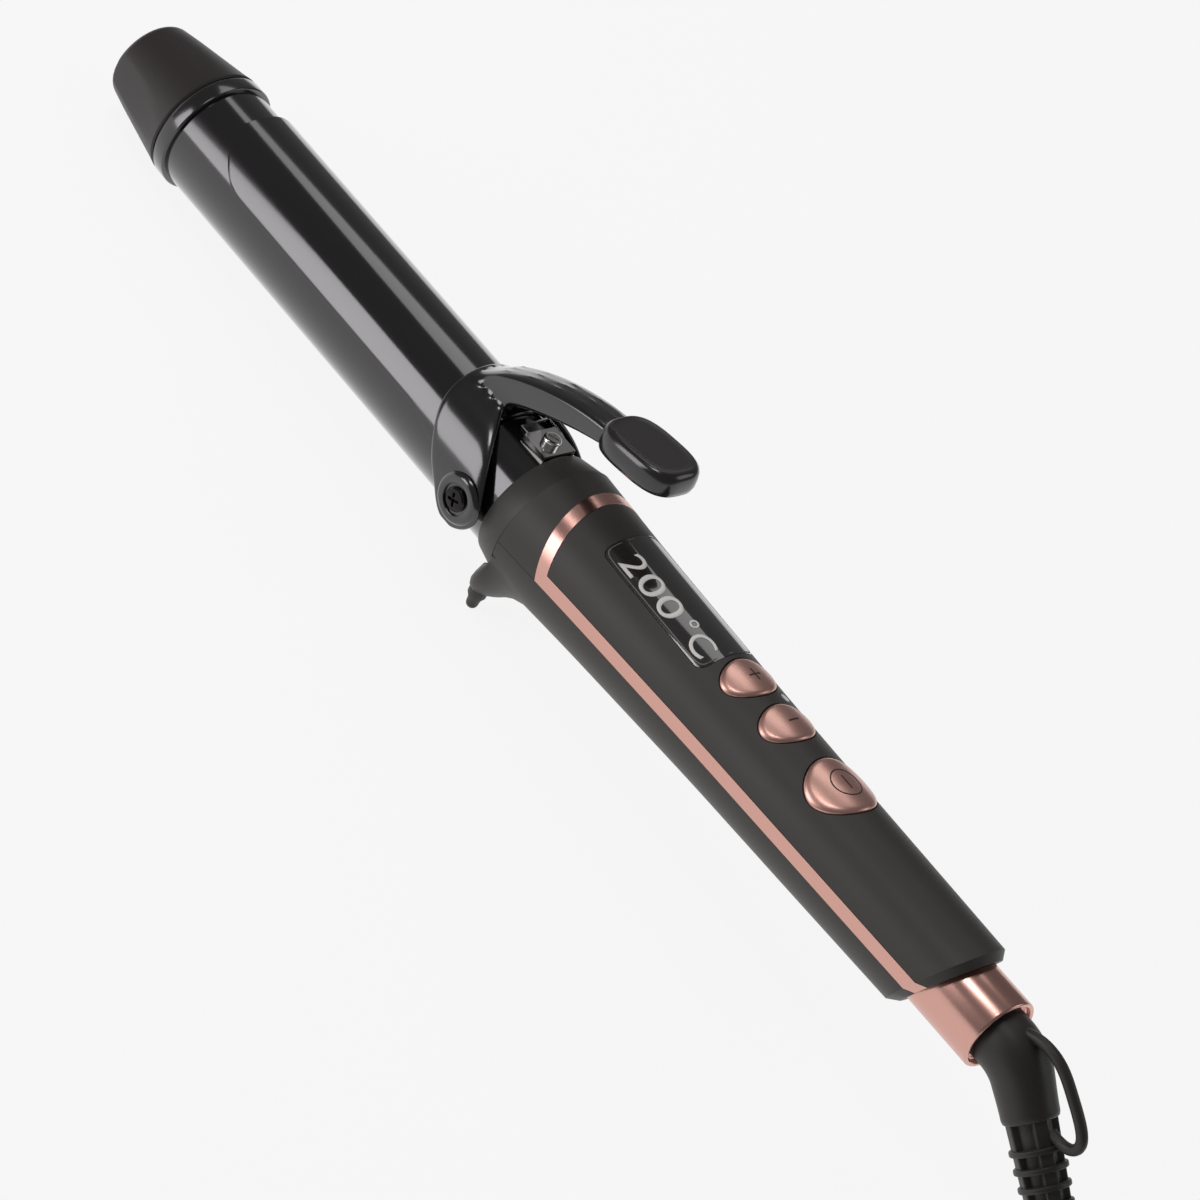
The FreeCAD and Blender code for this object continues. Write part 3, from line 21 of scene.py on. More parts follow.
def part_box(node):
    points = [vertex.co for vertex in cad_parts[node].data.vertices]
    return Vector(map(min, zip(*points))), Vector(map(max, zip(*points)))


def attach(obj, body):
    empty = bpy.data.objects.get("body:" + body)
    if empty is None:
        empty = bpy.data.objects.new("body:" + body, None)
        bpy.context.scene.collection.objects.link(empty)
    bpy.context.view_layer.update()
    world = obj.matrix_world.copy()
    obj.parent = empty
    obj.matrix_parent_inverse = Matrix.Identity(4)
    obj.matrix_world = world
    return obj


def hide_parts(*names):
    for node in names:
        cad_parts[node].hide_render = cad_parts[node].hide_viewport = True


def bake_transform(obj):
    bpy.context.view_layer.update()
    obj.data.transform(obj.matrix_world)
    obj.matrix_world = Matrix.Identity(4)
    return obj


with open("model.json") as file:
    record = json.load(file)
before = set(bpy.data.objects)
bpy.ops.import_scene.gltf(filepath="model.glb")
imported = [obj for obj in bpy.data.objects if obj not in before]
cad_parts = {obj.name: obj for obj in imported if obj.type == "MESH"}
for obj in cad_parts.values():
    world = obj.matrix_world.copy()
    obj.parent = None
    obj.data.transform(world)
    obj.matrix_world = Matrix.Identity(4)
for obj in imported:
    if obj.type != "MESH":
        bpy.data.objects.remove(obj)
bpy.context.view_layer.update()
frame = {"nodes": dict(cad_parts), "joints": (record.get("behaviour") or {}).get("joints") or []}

log = logging.getLogger("curling_iron")
MM = 0.001
RISE = math.radians(0.7)        # the handle's axis climbs this much behind the barrel's
HINGE = Vector((-8.0, 0.0, -1.0))
Section = Callable[[float], Vector]


class Body(Enum):
    """CAD bodies that pieces ride on."""

    IRON = "iron"
    CLIP = "clip"
    PLUS = "plus_button"
    MINUS = "minus_button"
    POWER = "power_button"
    SWIVEL = "swivel"


class Cut(Enum):
    """What one solid does to another."""

    AWAY = "DIFFERENCE"
    COMMON = "INTERSECT"
    JOIN = "UNION"


class Texture(Enum):
    """Procedural effects that a finish can be built on."""

    GRAIN = "Moulded grain"
    FLAKE = "Metal flake"
    BRUSHED = "Drawn metal"


# ---------------------------------------------------------------- frames
def joint(name: str) -> dict:
    """The record's joint of that name."""
    return next(j for j in frame["joints"] if j["name"] == name)


@dataclass(frozen=True)
class Axes:
    """Where the barrel's and the handle's own millimetre frames lie in the row frame."""

    barrel: Matrix
    handle: Matrix

    @classmethod
    def from_record(cls) -> "Axes":
        """Read both axes from the swivel's axis and the hinge's place."""
        along = Vector(joint("cord_swivel")["axis"])
        lean = math.atan2(along.z, along.x)
        hinge = Vector(joint("clip_hinge")["pos_m"])
        turn = Matrix.Rotation(-(lean - RISE), 4, "Y")
        origin = Matrix.Translation(hinge - turn @ (HINGE * MM))
        scale = Matrix.Scale(MM, 4)
        return cls(origin @ turn @ scale, origin @ Matrix.Rotation(-lean, 4, "Y") @ scale)


AXES = Axes.from_record()


# ---------------------------------------------------------------- shader groups
def linear(rgb: Sequence[float]) -> tuple[float, float, float, float]:
    """Turn a colour written as 0-255 into the renderer's linear values."""
    out = []
    for value in rgb:
        c = value / 255
        out.append(c / 12.92 if c <= 0.04045 else ((c + 0.055) / 1.055) ** 2.4)
    return (*out, 1.0)


class EffectGroup:
    """A shader node group with the inputs and outputs that all effects share."""

    def __init__(self, name: str) -> None:
        """Make the empty group and its sockets.

        Args:
            name: the group's name.
        """
        self.tree = bpy.data.node_groups.new(name, "ShaderNodeTree")
        face = self.tree.interface
        for label, kind in (("Vector", "Vector"), ("Color", "Color"), ("Shade", "Color"),
                            ("Size", "Float"), ("Mottle", "Float"), ("Roughness", "Float"),
                            ("Spread", "Float")):
            face.new_socket(label, in_out="INPUT", socket_type="NodeSocket" + kind)
        for label, kind in (("Color", "Color"), ("Roughness", "Float"), ("Height", "Float")):
            face.new_socket(label, in_out="OUTPUT", socket_type="NodeSocket" + kind)
        self.start = self.tree.nodes.new("NodeGroupInput")
        self.end = self.tree.nodes.new("NodeGroupOutput")

    def node(self, kind: str, **settings: object) -> bpy.types.Node:
        """Add a node and set its properties."""
        made = self.tree.nodes.new("ShaderNode" + kind)
        for key, value in settings.items():
            setattr(made, key, value)
        return made

    def link(self, source: bpy.types.NodeSocket, target: bpy.types.NodeSocket) -> None:
        """Join two sockets."""
        self.tree.links.new(source, target)

    def math(self, operation: str, a: object, b: object) -> bpy.types.NodeSocket:
        """Combine two sockets or numbers.

        Args:
            operation: the Math node's operation.
            a: first socket or number.
            b: second socket or number.

        Returns:
            The result's socket.
        """
        made = self.node("Math", operation=operation)
        for slot, value in enumerate((a, b)):
            if isinstance(value, (int, float)):
                made.inputs[slot].default_value = value
            else:
                self.link(value, made.inputs[slot])
        return made.outputs[0]

    def noise(self, scale: object, detail: float, vector: bpy.types.NodeSocket) -> bpy.types.NodeSocket:
        """Noise at a scale that is a number or a socket."""
        made = self.node("TexNoise")
        made.inputs["Detail"].default_value = detail
        if isinstance(scale, (int, float)):
            made.inputs["Scale"].default_value = scale
        else:
            self.link(scale, made.inputs["Scale"])
        self.link(vector, made.inputs["Vector"])
        return made.outputs["Fac"]

    def finish(self, fine: bpy.types.NodeSocket, broad: bpy.types.NodeSocket) -> bpy.types.NodeTree:
        """Feed colour, roughness and height from a fine and a broad pattern.

        Args:
            fine: pattern of the grain itself, 0 to 1.
            broad: pattern of the handling marks and tone, 0 to 1.

        Returns:
            The finished group.
        """
        given = self.start.outputs
        tone = self.math("ADD", self.math("MULTIPLY", fine, 0.55), self.math("MULTIPLY", broad, 0.45))
        share = self.math("MULTIPLY", tone, given["Mottle"])
        mix = self.node("Mix", data_type="RGBA")
        self.link(share, mix.inputs[0])
        self.link(given["Color"], mix.inputs[6])
        self.link(given["Shade"], mix.inputs[7])
        self.link(mix.outputs[2], self.end.inputs["Color"])
        swing = self.math("MULTIPLY", self.math("SUBTRACT", broad, 0.5), given["Spread"])
        self.link(self.math("ADD", given["Roughness"], swing), self.end.inputs["Roughness"])
        self.link(fine, self.end.inputs["Height"])
        return self.tree


def grain_group() -> bpy.types.NodeTree:
    """Fine spark-eroded grain with broad handling marks."""
    group = EffectGroup(Texture.GRAIN.value)
    given = group.start.outputs
    fine = group.noise(given["Size"], 3.0, given["Vector"])
    broad = group.noise(38.0, 4.0, given["Vector"])
    return group.finish(fine, broad)


def flake_group() -> bpy.types.NodeTree:
    """Metal flakes of random tone under a lacquer."""
    group = EffectGroup(Texture.FLAKE.value)
    given = group.start.outputs
    cells = group.node("TexVoronoi")
    group.link(given["Size"], cells.inputs["Scale"])
    group.link(given["Vector"], cells.inputs["Vector"])
    apart = group.node("SeparateColor")
    group.link(cells.outputs["Color"], apart.inputs["Color"])
    broad = group.noise(90.0, 2.0, given["Vector"])
    return group.finish(apart.outputs[0], broad)


def brushed_group() -> bpy.types.NodeTree:
    """Fine drawn lines along the piece."""
    group = EffectGroup(Texture.BRUSHED.value)
    given = group.start.outputs
    stretch = group.node("Mapping")
    stretch.inputs["Scale"].default_value = (0.04, 1.0, 1.0)
    group.link(given["Vector"], stretch.inputs["Vector"])
    fine = group.noise(given["Size"], 2.0, stretch.outputs["Vector"])
    broad = group.noise(60.0, 3.0, given["Vector"])
    return group.finish(fine, broad)


@dataclass(frozen=True)
class Finish:
    """One real finish: its colours, gloss and surface grain.

    Colours are 0-255, the grain's size is in millimetres and its depth in microns.
    """

    name: str
    color: tuple[float, float, float]
    shade: tuple[float, float, float]
    roughness: float
    texture: Texture = Texture.GRAIN
    size: float = 0.25
    depth: float = 6.0
    mottle: float = 0.5
    spread: float = 0.08
    metallic: float = 0.0
    specular: float = 0.5
    coat: float = 0.0
    coat_roughness: float = 0.04
    sheen: float = 0.0
    emission: float = 0.0
    transmission: float = 0.0

    def build(self, groups: dict[Texture, bpy.types.NodeTree]) -> bpy.types.Material:
        """Make the material.

        Args:
            groups: the shader groups by texture.

        Returns:
            The new material.
        """
        material = bpy.data.materials.new(self.name)
        material.use_nodes = True
        tree = material.node_tree
        shader = tree.nodes["Principled BSDF"]
        for socket, value in (("Metallic", self.metallic), ("Specular IOR Level", self.specular),
                              ("Coat Weight", self.coat), ("Coat Roughness", self.coat_roughness),
                              ("Sheen Weight", self.sheen), ("Transmission Weight", self.transmission),
                              ("Emission Strength", self.emission)):
            shader.inputs[socket].default_value = value
        if self.emission:
            shader.inputs["Emission Color"].default_value = linear(self.color)
        where = tree.nodes.new("ShaderNodeTexCoord")
        effect = tree.nodes.new("ShaderNodeGroup")
        effect.node_tree = groups[self.texture]
        effect.inputs["Color"].default_value = linear(self.color)
        effect.inputs["Shade"].default_value = linear(self.shade)
        effect.inputs["Size"].default_value = 1.0 / (self.size * MM)
        effect.inputs["Mottle"].default_value = self.mottle
        effect.inputs["Roughness"].default_value = self.roughness
        effect.inputs["Spread"].default_value = self.spread
        bump = tree.nodes.new("ShaderNodeBump")
        bump.inputs["Distance"].default_value = self.depth * 1e-6
        bump.inputs["Strength"].default_value = 1.0
        tree.links.new(where.outputs["Object"], effect.inputs["Vector"])
        tree.links.new(effect.outputs["Color"], shader.inputs["Base Color"])
        tree.links.new(effect.outputs["Roughness"], shader.inputs["Roughness"])
        tree.links.new(effect.outputs["Height"], bump.inputs["Height"])
        tree.links.new(bump.outputs["Normal"], shader.inputs["Normal"])
        return material


class Palette:
    """All the finishes of the iron, made when first asked for."""

    FINISHES: dict[str, Finish] = {f.name: f for f in (
        Finish("gloss_black_coating", (17, 15, 16), (26, 23, 25), 0.14, size=0.6, depth=0.5, coat=1.0, coat_roughness=0.09, spread=0.05),
        Finish("gloss_black_moulding", (18, 16, 17), (26, 23, 25), 0.2, size=0.5, depth=0.7, coat=1.0, coat_roughness=0.12, spread=0.06),
        Finish("tip_plastic", (44, 39, 38), (60, 55, 53), 0.42, size=0.3, depth=7.0, spread=0.1),
        Finish("soft_touch_charcoal", (56, 53, 49), (66, 63, 59), 0.5, size=0.16, depth=4.0, spread=0.08, sheen=0.06),
        Finish("collar_satin", (55, 53, 48), (64, 62, 57), 0.46, size=0.2, depth=5.0),
        Finish("pad_satin", (52, 49, 49), (62, 59, 59), 0.36, size=0.22, depth=4.0, spread=0.1),
        Finish("pad_side_gloss", (32, 29, 30), (44, 40, 41), 0.22, size=0.4, depth=1.5, coat=0.5, coat_roughness=0.15),
        Finish("rose_trim", (216, 168, 156), (196, 150, 138), 0.24, Texture.BRUSHED, size=0.12, depth=0.6, metallic=1.0, mottle=0.4),
        Finish("rose_button", (208, 158, 144), (228, 184, 172), 0.34, Texture.FLAKE, size=0.22, depth=2.5, metallic=0.9, mottle=0.55, coat=0.3, coat_roughness=0.2),
        Finish("symbol_ink", (64, 40, 34), (78, 52, 44), 0.5, size=0.2, depth=2.0),
        Finish("smoked_window", (46, 44, 42), (52, 50, 48), 0.1, size=1.2, depth=0.3, coat=1.0, coat_roughness=0.03, spread=0.03),
        Finish("display_glyph", (214, 212, 208), (178, 176, 172), 0.45, size=0.35, depth=3.0, emission=0.25),
        Finish("display_line", (126, 124, 121), (104, 102, 99), 0.4, size=0.3, depth=1.0),
        Finish("lens_dark", (34, 22, 22), (52, 30, 28), 0.12, size=0.5, depth=0.4, coat=1.0),
        Finish("bright_plating", (226, 224, 222), (196, 194, 192), 0.1, Texture.BRUSHED, size=0.1, depth=0.3, metallic=1.0),
        Finish("black_screw", (36, 34, 35), (54, 51, 52), 0.26, Texture.BRUSHED, size=0.1, depth=1.0, metallic=0.85, mottle=0.7),
        Finish("spring_steel", (158, 156, 158), (124, 122, 124), 0.3, Texture.BRUSHED, size=0.08, depth=0.8, metallic=1.0),
        Finish("plain_steel", (148, 146, 146), (112, 110, 110), 0.34, Texture.BRUSHED, size=0.1, depth=1.0, metallic=1.0),
        Finish("nickel_pin", (206, 200, 188), (178, 172, 160), 0.2, Texture.BRUSHED, size=0.1, depth=0.6, metallic=1.0),
        Finish("boot_rubber", (40, 37, 33), (50, 47, 43), 0.48, size=0.25, depth=5.0, sheen=0.05),
        Finish("cord_jacket", (38, 36, 33), (48, 46, 42), 0.5, size=0.3, depth=6.0),
        Finish("plug_moulding", (39, 37, 34), (50, 48, 44), 0.46, size=0.22, depth=6.0),
        Finish("slip_washer", (40, 38, 38), (52, 50, 50), 0.5, size=0.2, depth=3.0),
        Finish("carrier_plastic", (196, 194, 188), (176, 174, 168), 0.5, size=0.3, depth=5.0),
        Finish("heat_proof_carrier", (96, 86, 80), (78, 70, 66), 0.6, size=0.35, depth=10.0),
        Finish("white_ceramic", (226, 221, 208), (204, 198, 184), 0.55, size=0.3, depth=8.0),
        Finish("extruded_aluminium", (206, 206, 208), (176, 176, 180), 0.32, Texture.BRUSHED, size=0.15, depth=2.0, metallic=1.0),
        Finish("contact_brass", (214, 176, 104), (186, 148, 82), 0.28, Texture.BRUSHED, size=0.1, depth=0.8, metallic=1.0),
        Finish("board_green", (28, 92, 52), (22, 72, 42), 0.42, size=0.8, depth=4.0, coat=0.3),
        Finish("component_black", (38, 38, 40), (52, 52, 54), 0.4, size=0.25, depth=4.0),
        Finish("film_capacitor", (196, 152, 44), (168, 128, 36), 0.3, size=0.6, depth=2.0, coat=0.4),
        Finish("silicone_lead", (204, 196, 190), (182, 174, 168), 0.5, size=0.3, depth=4.0),
        Finish("sensor_glass", (214, 204, 178), (196, 186, 160), 0.12, size=0.5, depth=0.5, transmission=0.5),
        Finish("lcd_glass", (118, 126, 120), (102, 110, 104), 0.16, size=0.6, depth=0.5, coat=0.6),
    )}

    def __init__(self) -> None:
        """Make the shader groups."""
        self.groups = {Texture.GRAIN: grain_group(), Texture.FLAKE: flake_group(), Texture.BRUSHED: brushed_group()}
        self.made: dict[str, bpy.types.Material] = {}

    def __getitem__(self, name: str) -> bpy.types.Material:
        """The material of that finish."""
        if name not in self.made:
            self.made[name] = self.FINISHES[name].build(self.groups)
        return self.made[name]


PALETTE = Palette()


# ---------------------------------------------------------------- mesh tools
def lathe(outline: Sequence[tuple[float, float]], steps: int = 96, closed: bool = False) -> bmesh.types.BMesh:
    """Turn an outline of places and radii round the X axis.

    Args:
        outline: pairs of place along the axis and radius.
        steps: facets in a full turn.
        closed: whether the outline's end joins its start.

    Returns:
        The turned mesh, faces outwards.
    """
    bm = bmesh.new()
    verts = [bm.verts.new((x, 0.0, r)) for x, r in outline]
    edges = [bm.edges.new(pair) for pair in zip(verts, verts[1:])]
    if closed:
        edges.append(bm.edges.new((verts[-1], verts[0])))
    bmesh.ops.spin(bm, geom=verts + edges, cent=(0, 0, 0), axis=(1, 0, 0), angle=math.tau,
                   steps=steps, use_merge=True, use_duplicate=False)
    bmesh.ops.remove_doubles(bm, verts=bm.verts, dist=1e-4)
    bmesh.ops.recalc_face_normals(bm, faces=bm.faces)
    return bm


def loft(sections: Sequence[Section], steps: int = 64, closed: bool = False) -> bmesh.types.BMesh:
    """Extrude a ring of vertices through sections, each a place for every angle.

    Args:
        sections: functions from an angle to a point.
        steps: vertices in a ring.
        closed: whether the last ring joins the first, with no caps.

    Returns:
        The mesh, capped at both ends unless closed.
    """
    bm = bmesh.new()
    turn = bm.verts.layers.float.new("turn")
    ring = bmesh.ops.create_circle(bm, cap_ends=False, segments=steps, radius=1.0)["verts"]
    for v in ring:
        v[turn] = math.atan2(v.co.y, v.co.x)
        v.co = sections[0](v[turn])
    edges = list(bm.edges)
    first = list(edges)
    for section in sections[1:]:
        made = bmesh.ops.extrude_edge_only(bm, edges=edges)["geom"]
        edges = [g for g in made if isinstance(g, bmesh.types.BMEdge)]
        for v in (g for g in made if isinstance(g, bmesh.types.BMVert)):
            v.co = section(v[turn])
    if closed:
        bmesh.ops.bridge_loops(bm, edges=first + edges)
    else:
        for rim in (first, edges):
            cap = bmesh.ops.contextual_create(bm, geom=rim)["faces"]
            bmesh.ops.poke(bm, faces=cap)
    bmesh.ops.recalc_face_normals(bm, faces=bm.faces)
    return bm


def block(low: Sequence[float], high: Sequence[float]) -> bmesh.types.BMesh:
    """Box between two corners."""
    bm = bmesh.new()
    bmesh.ops.create_cube(bm, size=1.0)
    low_v, high_v = Vector(low), Vector(high)
    bmesh.ops.scale(bm, vec=high_v - low_v, verts=bm.verts)
    bmesh.ops.translate(bm, vec=(low_v + high_v) / 2, verts=bm.verts)
    return bm


def soften(bm: bmesh.types.BMesh, width: float, segments: int = 3, limit: float = 25.0) -> bmesh.types.BMesh:
    """Round every edge that turns by more than a limit.

    Args:
        bm: the mesh.
        width: the rounding's width.
        segments: its steps.
        limit: angle in degrees.

    Returns:
        The same mesh.
    """
    sharp = [e for e in bm.edges if len(e.link_faces) == 2 and e.calc_face_angle() > math.radians(limit)]
    bmesh.ops.bevel(bm, geom=sharp, offset=width, offset_type="OFFSET", segments=segments, profile=0.5,
                    affect="EDGES", material=-1, clamp_overlap=True)
    return bm


def moved(bm: bmesh.types.BMesh, change: Callable[[Vector], Vector]) -> bmesh.types.BMesh:
    """Move every vertex by a function of its place."""
    for v in bm.verts:
        v.co = change(v.co.copy())
    return bm


def scratch(bm: bmesh.types.BMesh) -> bpy.types.Object:
    """Put a mesh in an object of its own for a moment."""
    mesh = bpy.data.meshes.new("scratch")
    bm.to_mesh(mesh)
    bm.free()
    obj = bpy.data.objects.new("scratch", mesh)
    bpy.context.scene.collection.objects.link(obj)
    return obj


def carve(bm: bmesh.types.BMesh, *steps: tuple[bmesh.types.BMesh, Cut]) -> bmesh.types.BMesh:
    """Cut, join or trim a solid with other solids, in order.

    Args:
        bm: the solid to start from.
        steps: pairs of a tool and what it does.

    Returns:
        The new solid.
    """
    base = scratch(bm)
    tools = [(scratch(tool), cut) for tool, cut in steps]
    for tool, cut in tools:
        act = base.modifiers.new("carve", "BOOLEAN")
        act.object = tool
        act.operation = cut.value
        act.solver = "MANIFOLD"
    bpy.context.view_layer.update()
    seen = base.evaluated_get(bpy.context.evaluated_depsgraph_get())
    mesh = bpy.data.meshes.new_from_object(seen)
    out = bmesh.new()
    out.from_mesh(mesh)
    for obj in [base] + [tool for tool, _ in tools]:
        data = obj.data
        bpy.data.objects.remove(obj)
        bpy.data.meshes.remove(data)
    bpy.data.meshes.remove(mesh)
    bmesh.ops.remove_doubles(out, verts=out.verts, dist=1e-4)
    bmesh.ops.dissolve_degenerate(out, dist=1e-4, edges=out.edges)
    return out


def joined(parts: Iterable[bmesh.types.BMesh]) -> bmesh.types.BMesh:
    """Put several separate meshes in one."""
    out = bmesh.new()
    for part in parts:
        mesh = bpy.data.meshes.new("part")
        part.to_mesh(mesh)
        part.free()
        out.from_mesh(mesh)
        bpy.data.meshes.remove(mesh)
    return out


@dataclass
class Piece:
    """A finished mesh on its way into the scene."""

    name: str
    bm: bmesh.types.BMesh
    finish: str
    slot: str
    body: Body = Body.IRON
    place: Matrix = field(default_factory=lambda: AXES.handle)
    replaces: tuple[str, ...] = ()
    sharp: float = 30.0
    bevel: float = 0.0
    subdivide: int = 0
    others: tuple[str, ...] = ()

    def add(self) -> bpy.types.Object:
        """Place the piece, dress it and let it ride on its body.

        Returns:
            The new object.
        """
        bmesh.ops.transform(self.bm, matrix=self.place, verts=self.bm.verts)
        mesh = bpy.data.meshes.new(self.name)
        self.bm.to_mesh(mesh)
        self.bm.free()
        for polygon in mesh.polygons:
            polygon.use_smooth = True
        if not self.subdivide:
            mesh.set_sharp_from_angle(angle=math.radians(self.sharp))
        obj = bpy.data.objects.new(self.name, mesh)
        bpy.context.scene.collection.objects.link(obj)
        for finish in (self.finish, *self.others):
            mesh.materials.append(PALETTE[finish])
        if self.bevel:
            edge = obj.modifiers.new("edge", "BEVEL")
            edge.width = self.bevel * MM
            edge.segments = 2
            edge.limit_method = "ANGLE"
            edge.angle_limit = math.radians(35)
            edge.harden_normals = False
        if self.subdivide:
            smooth = obj.modifiers.new("form", "SUBSURF")
            smooth.levels = smooth.render_levels = self.subdivide
        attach(obj, self.body.value)
        if self.replaces:
            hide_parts(*self.replaces)
        log.info("piece %s: %d faces", self.name, len(mesh.polygons))
        return obj


def oval(half_x: float, half_y: float, power: float, angle: float) -> tuple[float, float]:
    """Point of a rounded rectangle or ellipse at an angle."""
    c, s = math.cos(angle), math.sin(angle)
    x = math.copysign(abs(c) ** (2 / power), c) * half_x
    y = math.copysign(abs(s) ** (2 / power), s) * half_y
    return x, y


def smoothstep(value: float) -> float:
    """Ease from 0 to 1."""
    t = min(1.0, max(0.0, value))
    return t * t * (3 - 2 * t)


def arc_point(a: Vector, b: Vector, c: Vector, t: float) -> Vector:
    """Point on the circle arc through three points in the XZ plane.

    Args:
        a: start.
        b: point between.
        c: end.
        t: share of the arc from its start.

    Returns:
        The point.
    """
    ax, az, bx, bz, cx, cz = a.x, a.z, b.x, b.z, c.x, c.z
    d = 2 * (ax * (bz - cz) + bx * (cz - az) + cx * (az - bz))
    ux = ((ax**2 + az**2) * (bz - cz) + (bx**2 + bz**2) * (cz - az) + (cx**2 + cz**2) * (az - bz)) / d
    uz = ((ax**2 + az**2) * (cx - bx) + (bx**2 + bz**2) * (ax - cx) + (cx**2 + cz**2) * (bx - ax)) / d
    r = math.hypot(ax - ux, az - uz)
    start = math.atan2(az - uz, ax - ux)
    end = math.atan2(cz - uz, cx - ux)
    sweep = (end - start + math.pi) % math.tau - math.pi
    angle = start + sweep * t
    return Vector((ux + r * math.cos(angle), 0.0, uz + r * math.sin(angle)))


# ---------------------------------------------------------------- barrel and tip
@dataclass
class Barrel:
    """Heated barrel, its ring and the cool tip."""

    radius: float = 16.0
    wall: float = 1.0
    front: float = -140.8
    tuck: float = 7.6
    ring_radius: float = 17.2
    ring_front: float = -145.3
    tip_radius: float = 17.0
    tip_rear: float = -146.1
    nose: float = -173.5
    nose_radius: float = 12.0

    def tube(self) -> bmesh.types.BMesh:
        """Coated tube with its wall."""
        inner = self.radius - self.wall
        return lathe([(self.front, inner), (self.front, self.radius), (self.tuck, self.radius),
                      (self.tuck, inner)], steps=160, closed=True)

    def ring(self) -> bmesh.types.BMesh:
        """Glossy ring with rounded shoulders."""
        inner = self.radius - self.wall - 0.3
        bm = lathe([(self.ring_front, inner), (self.ring_front, self.ring_radius),
                    (self.front, self.ring_radius), (self.front, inner)], steps=144, closed=True)
        return soften(bm, 0.55, 4)

    def cap(self) -> bmesh.types.BMesh:
        """Tapered tip with a rounded nose and two flat finger places."""
        neck = self.ring_radius - 0.9
        spigot = self.radius - self.wall - 0.6
        taper = (self.tip_radius - self.nose_radius) / (self.tip_rear - self.nose)
        outline = [(self.nose, 0.0), (self.nose + 0.04, 4.0), (self.nose + 0.16, 7.6)]
        round_r = 2.8
        lean = math.atan(taper)
        for step in range(8):
            angle = math.radians(84) - (math.radians(84) - lean) * step / 7
            outline.append((self.nose + 0.2 + round_r * (1 - math.sin(angle)),
                            self.nose_radius - round_r + 0.35 + round_r * math.cos(angle)))
        for share in (0.3, 0.5, 0.7, 0.9):
            x = self.nose + (self.tip_rear - self.nose) * share
            outline.append((x, self.nose_radius + taper * (x - self.nose)))
        outline += [(self.tip_rear - 0.5, self.tip_radius), (self.tip_rear, self.tip_radius - 0.4),
                    (self.tip_rear, neck), (self.ring_front, neck), (self.ring_front, spigot),
                    (self.front + 9.0, spigot), (self.front + 9.0, 0.0)]
        bm = lathe(outline, steps=160)
        return moved(bm, self.finger_flat)

    def finger_flat(self, co: Vector) -> Vector:
        """Press the places between finger and thumb flat, more towards the nose."""
        if co.x > self.tip_rear - 0.6:
            return co
        reach = (self.tip_rear - co.x) / (self.tip_rear - self.nose)
        limit = self.tip_radius - 0.2 - 4.9 * reach - 0.9 * smoothstep(reach * 2)
        if abs(co.y) > limit:
            co.y = math.copysign(limit + (abs(co.y) - limit) * 0.12, co.y)
        return co

    def build(self) -> None:
        """Make and dress the barrel's pieces."""
        Piece("barrel", self.tube(), "gloss_black_coating", "barrel_tube", place=AXES.barrel, replaces=("barrel_tube",)).add()
        Piece("barrel_ring", self.ring(), "gloss_black_moulding", "tip_ring", place=AXES.barrel, replaces=("tip_ring",)).add()
        Piece("cool_tip", self.cap(), "tip_plastic", "tip_cap", place=AXES.barrel, replaces=("tip_cap",), sharp=24).add()


